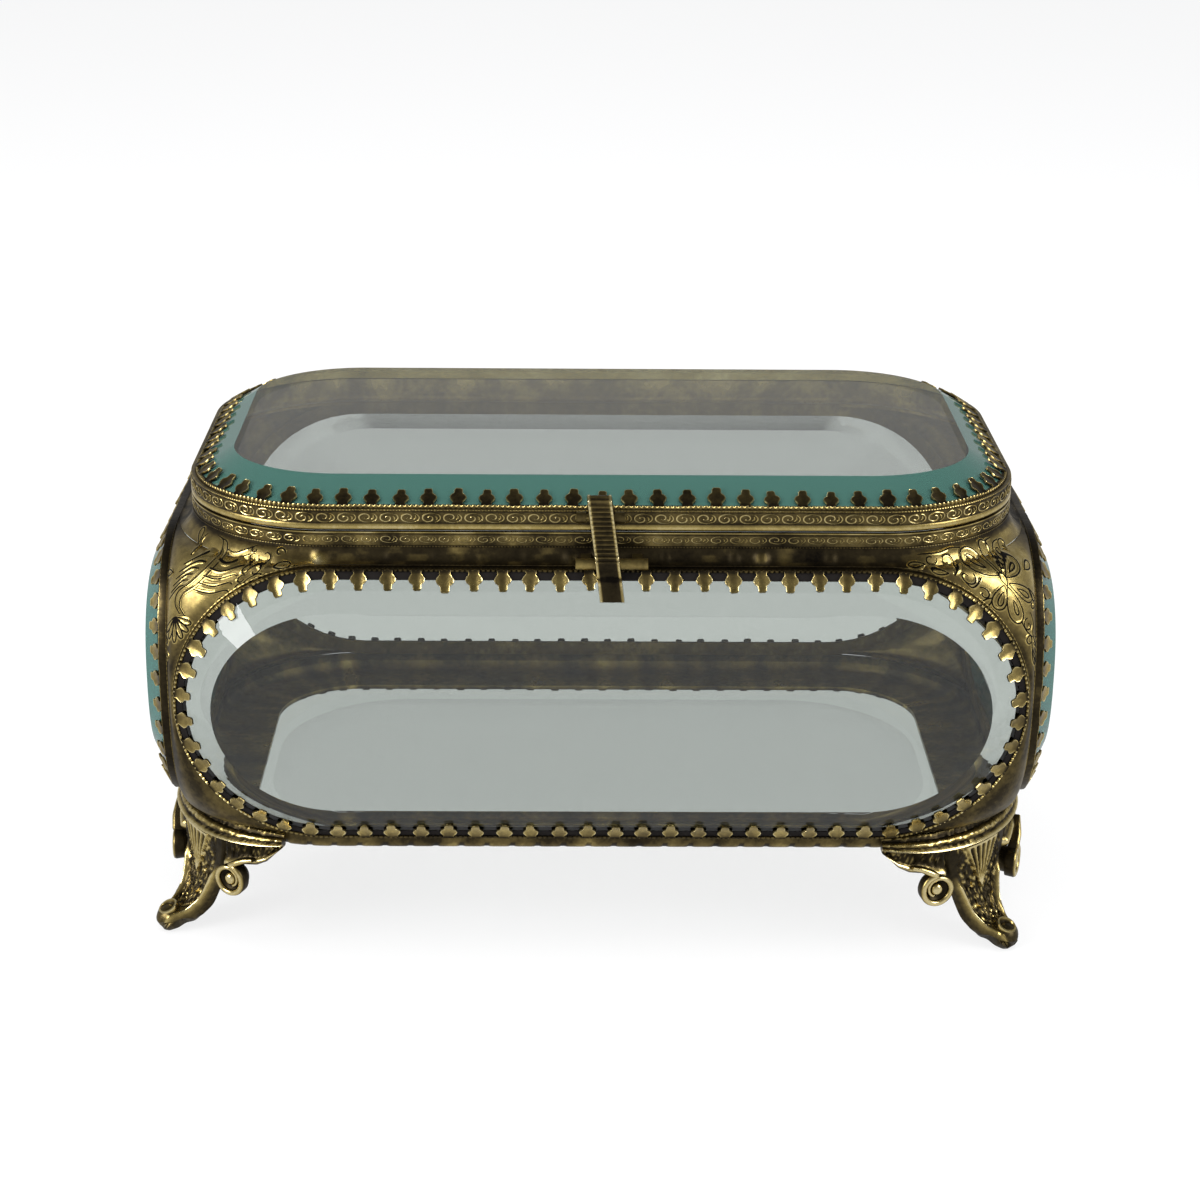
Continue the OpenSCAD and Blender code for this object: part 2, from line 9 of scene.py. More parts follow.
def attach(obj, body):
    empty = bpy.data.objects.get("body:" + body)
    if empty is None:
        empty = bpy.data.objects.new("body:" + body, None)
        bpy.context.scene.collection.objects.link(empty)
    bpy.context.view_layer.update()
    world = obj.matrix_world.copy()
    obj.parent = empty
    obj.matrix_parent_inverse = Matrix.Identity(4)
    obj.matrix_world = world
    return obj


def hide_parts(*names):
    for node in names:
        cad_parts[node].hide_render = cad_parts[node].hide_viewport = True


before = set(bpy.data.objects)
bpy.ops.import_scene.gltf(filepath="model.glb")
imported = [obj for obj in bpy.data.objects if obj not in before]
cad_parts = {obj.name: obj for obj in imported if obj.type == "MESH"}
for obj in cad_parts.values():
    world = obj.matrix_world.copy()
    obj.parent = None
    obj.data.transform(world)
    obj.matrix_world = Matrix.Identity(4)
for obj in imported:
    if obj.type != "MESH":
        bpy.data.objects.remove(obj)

bl_info = {
    "name": "Glass Casket Box",
    "version": (1, 0, 0),
    "blender": (4, 5, 0),
    "location": "View3D > Sidebar > Casket",
    "description": "Dresses the brass and bevelled glass casket and lights it",
    "category": "Object",
}

# Shape facts in millimetres, in the shared frame
MM = 0.001
CORE = np.array([49.0, 17.25])      # centres of the four rounded corners
BAND_R, WALL_R = 26.0, 28.55        # lid band and walls, from those centres
SEAT_X, SEAT_Y = 77.55, 45.8        # planes that the glasses rest on
LID_Z, FLOOR_Z = 83.9, 20.3
WINDOW_MID, WINDOW_HALF, WINDOW_TOP = 49.45, 25.85, 75.3
SHOULDER_R = WALL_R - BAND_R        # hollow between the rim and the walls
SHOULDER_TOP = WINDOW_TOP + SHOULDER_R
SEAT_EDGE = 0.25                    # the strips' middle line, inside a panel's outline
GLASS_EDGE = 1.2                    # thickness of a glass under its bevel
TILT = math.radians(30.7)           # slope of a bevel
SHEET = 0.8                         # thickness of the brass sheet
LUMP = 0.42                         # how far lumps of solder stand out
# Outlines: half width, half height, width and height of an end's quarter, squareness
FRONT = (76.0, 25.85, 27.0, 25.85, 2.0)
SIDE = (42.0, 25.85, 24.75, 25.85, 2.5)
LID = (74.2, 42.45, 25.2, 25.2, 2.0)
BASE = (68.05, 36.3, 19.05, 19.05, 2.0)
PANELS = {"front": FRONT, "rear": FRONT, "left": SIDE, "right": SIDE, "lid": LID, "base": BASE}
CORNERS = {"front_left": (-1, -1), "front_right": (1, -1), "rear_left": (-1, 1), "rear_right": (1, 1)}
CORNER_ROWS, CORNER_COLS = 121, 65


# ---- Meshes ----

class Pile:
    """Closed surfaces gathered for one mesh: points in millimetres, faces, and a relief at each
    point, from 0 in the dark recesses to 1 on edges rubbed bright. In places the relief also
    carries painted shade and painted highlights."""

    def __init__(self):
        self.points, self.relief, self.faces, self.slots, self.count = [], [], [], [], 0

    def add(self, points, relief, faces, slots=0):
        """Adds equal copies of a closed surface. The signed volume of a copy is the sum of the
        triple products of its fanned faces; where it is negative, the copy's faces are turned."""
        points = np.asarray(points, float)
        points = points[None] if points.ndim == 2 else points
        copies, size = points.shape[:2]
        middle = points - points.mean(axis=1, keepdims=True)
        volume = np.zeros(copies)
        for block in faces:
            ring = middle[:, block]
            for j in range(1, block.shape[1] - 1):
                volume += np.einsum("mki,mki->m", ring[:, :, 0], np.cross(ring[:, :, j], ring[:, :, j + 1]))
        first = self.count + np.arange(copies)[:, None, None] * size
        for block, slot in zip(faces, np.broadcast_to(slots, len(faces))):
            placed = first + block[None]
            placed[volume < 0] = placed[volume < 0][..., ::-1]
            self.faces.append(placed.reshape(-1, block.shape[1]))
            self.slots.append(np.full(copies * len(block), slot, np.int32))
        self.points.append(points.reshape(-1, 3))
        self.relief.append(np.broadcast_to(relief, (copies, size)).reshape(-1))
        self.count += copies * size

    def build(self, name, body, finishes, node, sharp=35.0):
        """Makes the mesh in metres and hangs it on its body in place of the CAD node."""
        mesh = bpy.data.meshes.new(name)
        mesh.from_pydata((np.concatenate(self.points) * MM).tolist(), [],
                         [face for block in self.faces for face in block.tolist()])
        for chosen in finishes:
            mesh.materials.append(finish(chosen))
        mesh.polygons.foreach_set("material_index", np.concatenate(self.slots))
        relief = mesh.attributes.new("relief", "FLOAT", "POINT")
        relief.data.foreach_set("value", np.concatenate(self.relief).astype(np.float32))
        mesh.shade_smooth()
        mesh.set_sharp_from_angle(angle=math.radians(sharp))
        piece = bpy.data.objects.new(name, mesh)
        bpy.context.scene.collection.objects.link(piece)
        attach(piece, body)
        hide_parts(node)


def grid(rows, cols, wrap_rows=False, wrap_cols=True):
    """Four-sided faces of a grid of points, closed on itself in the directions that wrap."""
    i = np.arange(rows if wrap_rows else rows - 1)[:, None]
    j = np.arange(cols if wrap_cols else cols - 1)[None, :]
    k, n = (i + 1) % rows, (j + 1) % cols
    return np.stack([i * cols + j, k * cols + j, k * cols + n, i * cols + n], -1).reshape(-1, 4)


def add_tubes(pile, sections, relief, slot=0):
    """Open-ended tubes: each section's loop of points is joined to the next, and a flat face
    closes the first and the last. Sections are copies x rows x columns x 3."""
    copies, rows, cols = sections.shape[:3]
    ends = [np.arange(cols)[None], (rows - 1) * cols + np.arange(cols)[None, ::-1]]
    relief = np.broadcast_to(relief, (copies, rows, cols)).reshape(copies, -1)
    pile.add(sections.reshape(copies, -1, 3), relief, [grid(rows, cols)] + ends, slot)


def add_loop(pile, sections, relief, slot=0):
    """A tube whose last section joins its first. Sections are rows x columns x 3."""
    rows, cols = sections.shape[:2]
    relief = np.broadcast_to(relief, (rows, cols)).reshape(1, -1)
    pile.add(sections.reshape(1, -1, 3), relief, [grid(rows, cols, True)], slot)


def add_slab(pile, front, back, relief):
    """A sheet: a front grid and a back grid of points, joined by faces along the four edges."""
    rows, cols = front.shape[:2]
    face = grid(rows, cols, False, False)
    size = rows * cols
    edge = np.concatenate([np.arange(rows) * cols, (rows - 1) * cols + np.arange(1, cols),
                           np.arange(rows - 2, -1, -1) * cols + cols - 1, np.arange(cols - 2, 0, -1)])
    ahead = np.roll(edge, -1)
    sides = np.stack([ahead, edge, edge + size, ahead + size], -1)
    points = np.concatenate([front.reshape(-1, 3), back.reshape(-1, 3)])
    values = np.concatenate([relief.reshape(-1), np.full(size, 0.35)])
    pile.add(points, values[None], [face, face[:, ::-1] + size, sides])


# ---- Curves ----

def ramp(x, low, high):
    """From 0 at low to 1 at high in a straight line, and level beyond."""
    return np.clip((x - low) / (high - low), 0, 1)


def circle(count):
    """Angles at even steps round a circle."""
    return np.arange(count) / count * 2 * np.pi


def unit(vectors):
    """The same directions with length one."""
    return vectors / np.maximum(np.linalg.norm(vectors, axis=-1, keepdims=True), 1e-9)


def leftward(path, axis=0):
    """At each point of a flat path, the direction a quarter turn left of its way."""
    ahead = unit(np.gradient(path, axis=axis))
    return np.stack([-ahead[..., 1], ahead[..., 0]], -1)


def travel(path):
    """Distance gone along a path at each of its points."""
    return np.concatenate([[0], np.cumsum(np.linalg.norm(np.diff(path, axis=0), axis=1))])


def steps_round(path, pitch):
    """How often a pitch goes into the length of a closed path, rounded."""
    return int(round(travel(np.vstack([path, path[:1]]))[-1] / pitch))


def outline(size, inset=0.0, tighten=1.0, steps=40):
    """Closed panel outline, anticlockwise: in each quarter the height goes as the sine of an
    angle and the width as the bulge (1 - sine^power)^(1/power), about the quarter's centre."""
    half_w, half_h, end_w, end_h, power = size
    rx, ry = end_w - inset * tighten, end_h - inset
    cx, cy = half_w - inset - rx, half_h - inset - ry
    quarter = np.repeat(np.arange(4), steps + 1)
    rise = np.sin(np.radians(90.0 * quarter + np.tile(np.linspace(0, 90, steps + 1), 4)))
    wide = np.maximum(0, 1 - np.abs(rise) ** power) ** (1 / power)
    x = np.where((quarter == 0) | (quarter == 3), 1, -1) * (cx + rx * wide)
    return np.stack([x, np.where(quarter < 2, cy, -cy) + ry * rise], -1)


def spread(path, count):
    """Points at even steps along a closed path, and the outward side of each."""
    closed = np.vstack([path, path[:1]])
    gone = travel(closed)
    s = np.arange(count) / count * gone[-1]
    points = np.stack([np.interp(s, gone, closed[:, k]) for k in (0, 1)], -1)
    ahead = unit(np.roll(points, -1, 0) - np.roll(points, 1, 0))
    return points, np.stack([ahead[:, 1], -ahead[:, 0]], -1)


def even(curve, count=18):
    """The same open curve at even steps of its length."""
    curve = np.asarray(curve, float)
    gone = travel(curve)
    s = np.linspace(0, gone[-1], count)
    return np.stack([np.interp(s, gone, curve[:, k]) for k in range(curve.shape[1])], -1)


def smooth(keys, count):
    """A Catmull-Rom curve through rows of numbers, at even steps of the row index."""
    keys = np.asarray(keys, float)
    padded = np.vstack([2 * keys[0] - keys[1], keys, 2 * keys[-1] - keys[-2]])
    at = np.linspace(0, len(keys) - 1, count)
    i = np.minimum(at.astype(int), len(keys) - 2)
    t = (at - i)[:, None]
    a, b, c, d = (padded[i + k] for k in range(4))
    return 0.5 * (2 * b + (c - a) * t + (2 * a - 5 * b + 4 * c - d) * t**2 + (3 * b - a - 3 * c + d) * t**3)


def spiral(centre, start, end, turn_from, turn_to, count=18):
    """A curl: the radius goes evenly from start to end as the angle, in degrees, goes round."""
    a = np.radians(np.linspace(turn_from, turn_to, count))
    r = np.linspace(start, end, count)
    return np.asarray(centre) + r[:, None] * np.stack([np.cos(a), np.sin(a)], -1)


def petal(centre, heading, length, width, count=18):
    """A closed drop: it runs out and back along the heading as a cosine, its half width goes as
    a sine times the square root of the way out."""
    u = np.linspace(0, 2 * np.pi, count)
    way = (1 - np.cos(u)) / 2
    side = width * np.sin(u) * np.sqrt(way + 0.05)
    c, s = math.cos(math.radians(heading)), math.sin(math.radians(heading))
    return np.asarray(centre) + np.stack([length * way * c - side * s, length * way * s + side * c], -1)


def ripple(count, seed, low, high, terms=14):
    """Endless uneven wave from -1 to 1: sines of whole-number frequency with seeded phases."""
    rng = np.random.default_rng(seed)
    angle = np.arange(count)[:, None] / count * 2 * np.pi
    wave = np.sin(angle * rng.integers(low, high, terms) + rng.uniform(0, 2 * np.pi, terms))
    return wave.sum(axis=1) / math.sqrt(terms)


def add_ribbons(pile, curves, width, height, mapping, crest=1.0, foot=0.1, sink=0.05, taper=0.35):
    """Low rounded ribbons laid on a surface. Across a ribbon the height goes as an arch, and its
    half width narrows to the taper's share at both ends. The mapping turns a place on the
    surface and a lift off it into a point. Crest and foot are the relief on top and beside."""
    along = np.linspace(0, np.pi, curves.shape[1])
    half = width * (taper + (1 - taper) * np.sin(along) ** 0.5)
    across = np.array([-1.0, -0.65, 0.0, 0.65, 1.0])
    lift = np.array([-sink, 0.7 * height, height, 0.7 * height, -sink])
    side = leftward(curves, 1)[:, :, None]
    places = curves[:, :, None] + side * (half[:, None] * across)[..., None]
    relief = foot + (crest - foot) * np.array([0.0, 0.5, 1.0, 0.5, 0.0])
    add_tubes(pile, mapping(places, np.broadcast_to(lift, places.shape[:-1])), relief)


# ---- Places on the box ----

def body_of(side):
    """The lid's glass and strip ride on the lid, and the others on the case."""
    return "lid" if side == "lid" else "case"


def on_side(side, x, y, z):
    """Turns panel coordinates, with z out of the panel, into the shared frame."""
    return np.stack({
        "front": (x, -SEAT_Y - z, WINDOW_MID + y), "rear": (-x, SEAT_Y + z, WINDOW_MID + y),
        "right": (SEAT_X + z, x, WINDOW_MID + y), "left": (-SEAT_X - z, -x, WINDOW_MID + y),
        "lid": (x, y, LID_Z + z), "base": (x, -y, FLOOR_Z - z)}[side], -1)


def ring_length(radius):
    """Length round the box, along a rounded rectangle of that corner radius."""
    return 4 * CORE.sum() + 2 * math.pi * radius


def ring_point(s, u, z, radius):
    """A point round the box: s runs anticlockwise along a rounded rectangle of that corner
    radius, from the lower end of the right side, and u is the distance from the core. The way
    has eight legs, straight and round by turns."""
    cx, cy = CORE
    arc = radius * math.pi / 2
    ends = np.cumsum([0] + [2 * cy, arc, 2 * cx, arc] * 2)
    s = np.mod(s, ends[-1])
    leg = np.clip(np.searchsorted(ends, s, side="right") - 1, 0, 7)
    f = ((s - ends[leg]) / np.diff(ends)[leg])[..., None]
    corners = np.repeat(CORE * [[1, -1], [1, 1], [-1, 1], [-1, -1]], 2, axis=0)
    begin, after = np.roll(corners, -1, axis=0), np.roll(corners, -2, axis=0)
    turn = (leg // 2 + (leg % 2) * f[..., 0]) * math.pi / 2
    base = begin[leg] + np.where((leg % 2 == 0)[..., None], f, 0) * (after[leg] - begin[leg])
    base = base + u[..., None] * np.stack([np.cos(turn), np.sin(turn)], -1)
    return np.concatenate([base, z[..., None]], -1)


def ring_sweep(count, u, z, radius):
    """Carries a profile, which may change along the way, round the box."""
    s = np.arange(count)[:, None] / count * ring_length(radius)
    return ring_point(*np.broadcast_arrays(s, u, z), radius)


def ring_map(radius):
    """Mapping for ribbons on an upright band: place is (distance round, height)."""
    return lambda q, lift: ring_point(q[..., 0], radius + lift, q[..., 1], radius)


def corner_share(turn):
    """How much of a corner's shape holds at an angle from its middle: one up to 24 degrees, none
    from 42 on, with an S-shaped change between."""
    t = ramp(np.abs(turn), 42.0, 24.0)
    return t * t * (3 - 2 * t)


def shoulder_point(way, share, lift=0.0):
    """Distance from the core and height on the shoulder, from 0 at the rim to 1 at the wall. It
    goes from a hollow quarter circle to a straight slope with a slight swell at the corners."""
    a, radius = way * np.pi / 2, SHOULDER_R - lift
    hollow = WALL_R - radius * np.cos(a), SHOULDER_TOP - radius * np.sin(a)
    swell, start = 0.7 * (0.2 * np.sin(np.pi * way) + lift), BAND_R + 0.2
    slope = start + (WALL_R - start) * way + swell, SHOULDER_TOP - SHOULDER_R * way + swell
    return tuple(h + share * (f - h) for h, f in zip(hollow, slope))


def corner_table():
    """Points and outward sides of a corner sheet, in the quarter where x and y are positive.
    Each level is a conic, with the weight of a quarter circle, from the front window's edge to
    the side window's edge; its points are at even steps of its length."""
    phi = np.radians(np.linspace(-90, 90, CORNER_ROWS))
    t = np.linspace(0, 1, 201)[None, :, None]
    bulge = np.maximum(0, 1 - np.abs(np.sin(phi)) ** SIDE[4]) ** (1 / SIDE[4])
    a = np.stack([FRONT[0] - FRONT[2] * (1 - np.cos(phi)), np.full_like(phi, SEAT_Y)], -1)[:, None]
    b = np.stack([np.full_like(phi, SEAT_X), SIDE[0] - SIDE[2] * (1 - bulge)], -1)[:, None]
    weight = 2 * math.cos(math.pi / 4) * t * (1 - t)
    fine = (1 - t) ** 2 * a + weight * [SEAT_X, SEAT_Y] + t**2 * b
    fine /= (1 - t) ** 2 + weight + t**2
    rows = np.stack([even(level, CORNER_COLS) for level in fine])
    length = np.linalg.norm(np.diff(fine, axis=1), axis=2).sum(axis=1)
    z = WINDOW_MID + WINDOW_HALF * np.sin(phi)
    points = np.concatenate([rows, np.broadcast_to(z[:, None, None], rows.shape[:2] + (1,))], -1)
    side = unit(np.cross(np.gradient(points, axis=0), np.gradient(points, axis=1)))
    side[0], side[-1] = side[1], side[-2]
    flip = np.sign((side[..., :2] * (points[..., :2] - CORE)).sum(-1, keepdims=True))
    return points, side * flip, length


def corner_map(table, mirror):
    """Mapping for ribbons on a corner sheet: place is (distance across from its middle, height).
    The table is read by straight interpolation between its four nearest points; above the wall
    the ribbons go on over the shoulder."""
    points, side, length = table

    def mapping(q, lift):
        """A point of the wall, and above it a point over the shoulder."""
        across, z = q[..., 0], q[..., 1]
        level = np.clip((z - WINDOW_MID) / WINDOW_HALF, -0.9999, 0.9999)
        row = (np.degrees(np.arcsin(level)) + 90) / 180 * (CORNER_ROWS - 1)
        i = np.minimum(row.astype(int), CORNER_ROWS - 2)
        f = row - i
        share = across / (length[i] * (1 - f) + length[i + 1] * f) + 0.5
        col = np.clip(share, 0.0, 1.0) * (CORNER_COLS - 1)
        j = np.minimum(col.astype(int), CORNER_COLS - 2)
        g, f = (col - j)[..., None], f[..., None]

        def read(values):
            """The table's value between its four nearest points."""
            low = values[i, j] * (1 - g) + values[i, j + 1] * g
            return low * (1 - f) + (values[i + 1, j] * (1 - g) + values[i + 1, j + 1] * g) * f

        wall = read(points) + read(side) * lift[..., None]
        turn = across / WALL_R
        way = ramp(z, WINDOW_TOP + 3.4, WINDOW_TOP)
        out, height = shoulder_point(way, corner_share(np.degrees(turn)), lift)
        a = math.pi / 4 - turn
        over = np.stack([CORE[0] + out * np.cos(a), CORE[1] + out * np.sin(a), height], -1)
        high = ramp(z, WINDOW_TOP - 0.2, WINDOW_TOP + 0.2)[..., None]
        return (wall + high * (over - wall)) * mirror

    return mapping


# ---- Materials ----

def feed(node, inputs):
    """Sets a node's inputs to values, or links them where a socket is given."""
    for key, value in inputs.items():
        if isinstance(value, bpy.types.NodeSocket):
            node.id_data.links.new(value, node.inputs[key])
        else:
            node.inputs[key].default_value = value


def maker(tree):
    """A function that adds a node of a kind to the tree, fed with inputs, with its settings."""
    def node(kind, inputs=None, **settings):
        """A new node of the tree."""
        made = tree.nodes.new("ShaderNode" + kind)
        for key, value in settings.items():
            setattr(made, key, value)
        feed(made, inputs or {})
        return made
    return node


def new_material(name):
    """An empty node material, its Principled shader and a maker of nodes."""
    material = bpy.data.materials.new(name)
    material.use_nodes = True
    return material, material.node_tree.nodes["Principled BSDF"], maker(material.node_tree)


def brass(name, shift, low_rough, high_rough, carved):
    """Antiqued brass. Relief plus a soft and a fine noise gives the wear, and with it the shade and
    highlights painted into the relief; a ramp turns it from black-brown through olive brown to
    gold, and the brighter parts are smoother."""
    material, shader, node = new_material(name)
    tones = bpy.context.scene.casket_brass

    def add_share(value, share, base):
        """The base plus a share of the value."""
        return node("Math", {0: value, 1: share, 2: base}, operation="MULTIPLY_ADD").outputs[0]

    place = node("TexCoord").outputs["Object"]
    stains = node("TexNoise", {"Vector": place, "Scale": 95.0, "Detail": 3.0, "Roughness": 0.6})
    grain = node("TexNoise", {"Vector": place, "Scale": 900.0, "Detail": 5.0, "Roughness": 0.65})
    wear = add_share(stains.outputs["Fac"], 0.5, shift - 0.25)
    wear = add_share(grain.outputs["Fac"], 0.35, wear)
    if carved:
        wear = add_share(node("Attribute", attribute_name="relief").outputs["Fac"], 0.78, wear)
    colours = node("ValToRGB", {"Fac": wear})
    stops = colours.color_ramp.elements
    stops[0].position, stops[0].color = 0.15, (*tones.recess, 1)
    stops[1].position, stops[1].color = 1.0, (*tones.rubbed, 1)
    for position, tone in ((0.38, tones.brown), (0.60, tones.olive), (0.82, tones.gold)):
        stops.new(position).color = (*tone, 1)
    rough = node("MapRange", {"Value": wear, "From Min": 0.2, "From Max": 0.9,
                              "To Min": high_rough, "To Max": low_rough})
    bump = node("Bump", {"Strength": 0.35, "Distance": 0.00008, "Height": grain.outputs["Fac"]})
    feed(shader, {"Base Color": colours.outputs["Color"], "Roughness": rough.outputs["Result"],
                  "Normal": bump.outputs["Normal"], "Metallic": 0.98})
    return material


def glass(name, clear, index):
    """Glass that tints the light at each face it crosses; where it isn't fully clear, the rest
    scatters the light as a flat colour. On the lid's and sides' bevels that colour is partly the
    glass's green and partly painted shade for the dark that the bevels refract and reflect."""
    material, shader, _ = new_material(name)
    tint = getattr(bpy.context.scene.casket_glass, name.replace("_glass", "_tint"))
    feed(shader, {"Base Color": (*tint, 1), "Transmission Weight": clear, "Roughness": 0.0, "IOR": index})
    return material


def painted_shade_finish(name):
    """A near-black band under the strips: painted shade of the deep gap there."""
    material, shader, _ = new_material(name)
    feed(shader, {"Base Color": (0.012, 0.010, 0.009, 1.0), "Roughness": 0.8, "Specular IOR Level": 0.1})
    return material


BRASSES = {  # shift of the wear, roughness where worn and where not, and whether it has relief
    "engraved_brass": (0.06, 0.2, 0.5, True),
    "cast_brass": (0.06, 0.2, 0.45, True),
    "strip_brass": (0.12, 0.2, 0.45, True),
    "plain_brass": (0.36, 0.3, 0.5, False),
    # The lid's ledge and the ledges under the glass are lighter copies: painted light where the glass keeps
    # the lamps' light out
    "pale_painted_light_brass": (0.70, 0.35, 0.55, False),
    "ledge_painted_light_brass": (0.40, 0.35, 0.55, False),
    "tube_brass": (0.54, 0.28, 0.45, False)}
GLASSES = {  # share that passes light, and how strongly it bends it
    # The side and lid bevels pass little light: their dark teal is partly the glass's green, partly painted
    # shade
    "side_bevel_glass": (0.12, 1.5), "lid_bevel_glass": (0.5, 1.5), "base_bevel_glass": (1.0, 1.08),
    "front_bevel_glass": (1.0, 1.5), "clear_glass": (1.0, 1.5)}


def finish(name):
    """The named finish, made once."""
    made = bpy.data.materials.get(name)
    if made:
        return made
    if name in BRASSES:
        return brass(name, *BRASSES[name])
    return glass(name, *GLASSES[name]) if name in GLASSES else painted_shade_finish(name)


# ---- Settings ----

def length_setting(name, default, description):
    """A length, in metres."""
    return FloatProperty(name=name, description=description, default=default, unit="LENGTH")


def angle_setting(name, degrees, description):
    """An angle, kept in radians and given in degrees."""
    return FloatProperty(name=name, description=description, default=math.radians(degrees),
                         subtype="ANGLE")


def share_setting(name, default, description):
    """A share from nothing to all."""
    return FloatProperty(name=name, description=description, default=default, subtype="FACTOR")


def colour_setting(name, default, description):
    """A colour, as linear red, green and blue."""
    return FloatVectorProperty(name=name, description=description, default=default, subtype="COLOR",
                               min=0, max=1)


class CasketGlass(bpy.types.PropertyGroup):
    """Sizes and tints of the bevelled glasses"""
    thickness: length_setting("Thickness", 0.005, "Thickness of each glass")
    edge: length_setting("Edge", GLASS_EDGE * MM, "Thickness left at the edge under the bevel")
    bevel: length_setting("Bevel", 0.0064, "Width of the bevel")
    hem: length_setting("Hem", 0.00065, "Strip and gap outside the glass")
    tighten: share_setting("Tighten", 0.7, "Share of the bevel by which corners tighten")
    clear_tint: colour_setting("Flats", (0.66, 0.69, 0.67), "Tint of the flat faces")
    front_bevel_tint: colour_setting("Front bevels", (0.80, 0.84, 0.81), "Tint of the front's and rear's")
    base_bevel_tint: colour_setting("Bottom bevel", (0.66, 0.70, 0.67), "Tint of the bottom glass's bevel")
    lid_bevel_tint: colour_setting("Lid bevel", (0.082, 0.205, 0.17), "Tint of the lid's bevel")
    side_bevel_tint: colour_setting("Side bevels", (0.025, 0.12, 0.10), "Tint of the left's and right's")


class CasketBrass(bpy.types.PropertyGroup):
    """Colours of the antiqued brass, from its recesses to its rubbed edges"""
    recess: colour_setting("Recess", (0.010, 0.008, 0.006), "Dirt in the recesses")
    brown: colour_setting("Brown", (0.055, 0.042, 0.021), "Dark brown tarnish")
    olive: colour_setting("Olive", (0.22, 0.165, 0.062), "Olive brown tarnish")
    gold: colour_setting("Gold", (0.60, 0.46, 0.16), "Clean brass")
    rubbed: colour_setting("Rubbed", (0.95, 0.80, 0.42), "Edges rubbed bright")


class CasketStrip(bpy.types.PropertyGroup):
    """Sizes of the pronged strips"""
    height: length_setting("Height", 0.0016, "Height of the strip over its ledge")
    prong_pitch: length_setting("Prong pitch", 0.005, "Spacing of the prongs")
    prong_length: length_setting("Prong length", 0.0038, "Length of a prong")
    scallop: length_setting("Scallop", 0.0009, "Spacing of the strip's scallops")
    unevenness: share_setting("Unevenness", 0.05, "How far prongs stray from an even row")


class CasketOrnament(bpy.types.PropertyGroup):
    """Sizes of the rolled and engraved ornament"""
    vine_pitch: length_setting("Vine pitch", 0.0037, "Length of one wave of the lid's vine")
    rim_pitch: length_setting("Rim pitch", 0.0034, "Length of one wave of the rim's vine")
    bead_pitch: length_setting("Bead pitch", 0.00055, "Spacing of the beads")
    line: length_setting("Line", 0.0002, "Half width of an engraved line")
    rib_pitch: length_setting("Rib pitch", 0.00085, "Spacing of the ribs on the hasp")


class CasketFeet(bpy.types.PropertyGroup):
    """Shape of the cast feet"""
    wing: angle_setting("Wing", 41, "Angle from the leg to the tip of a wing")
    scroll: angle_setting("Scroll", 21.5, "Angle from the leg to a scroll")
    left_turn: angle_setting("Left turn", 13, "How far the front left foot is turned")
    hammer: length_setting("Hammer", 0.00014, "Depth of the hammered marks")


class CasketStage(bpy.types.PropertyGroup):
    """Camera, floor and light"""
    distance: length_setting("Distance", 0.49838, "Camera distance from its target")
    elevation: angle_setting("Elevation", 20.43, "Camera angle over the horizon")
    yaw: angle_setting("Yaw", -0.73, "Camera angle round the box")
    roll: angle_setting("Roll", 0.48, "Camera roll")
    target: FloatVectorProperty(name="Target", description="Point that the camera looks at",
                                default=(0.0001, 0.0, 0.05211), subtype="TRANSLATION")
    lens: FloatProperty(name="Lens", description="Focal length in millimetres", default=76.867)
    glow: share_setting("Floor glow", 0.8, "Share of the floor's own white light")
    power: FloatProperty(name="Power", description="Power of the main light", default=7.0)


# ---- Operators ----

class CASKET_OT_add_glass(bpy.types.Operator):
    """Replaces the six glasses with closely stepped bevelled ones"""
    bl_idname = "casket.add_glass"
    bl_label = "Add glass"

    def execute(self, context):
        made = context.scene.casket_glass
        thick, edge, bevel, hem = (v / MM for v in (made.thickness, made.edge, made.bevel, made.hem))
        bevels = {"lid": "lid_bevel_glass", "left": "side_bevel_glass", "right": "side_bevel_glass",
                  "base": "base_bevel_glass"}
        for side, size in PANELS.items():
            outer = outline(size, hem)
            inner = outline(size, hem + bevel, made.tighten)
            if side == "base":
                # The bottom glass has a narrower bevel and almost half-round ends to its flat
                inner = outline((*size[:2], 30.0, 30.0, 2.0), hem + 0.6 * bevel)
            keep = np.linalg.norm(outer - np.roll(outer, 1, 0), axis=1) > 1e-6
            outer, inner = outer[keep], inner[keep]
            count = len(outer)
            # The wall's upper edge is slightly eased before the bevel starts
            levels = [(outer, 0.0), (outer, edge - 0.12), (outer * 0.9993, edge), (inner, thick)]
            rows = [on_side(side, p[:, 0], p[:, 1], np.full(count, z)) for p, z in levels]
            flats = [np.arange(count)[None], 3 * count + np.arange(count)[None, ::-1]]
            pile = Pile()
            pile.add(np.concatenate(rows), 0.5, [grid(4, count)] + flats, [1, 0, 0])
            pile.build(side + "_bevelled_glass", body_of(side),
                       ["clear_glass", bevels.get(side, "front_bevel_glass")], side + "_glass", sharp=12.0)
        return {"FINISHED"}


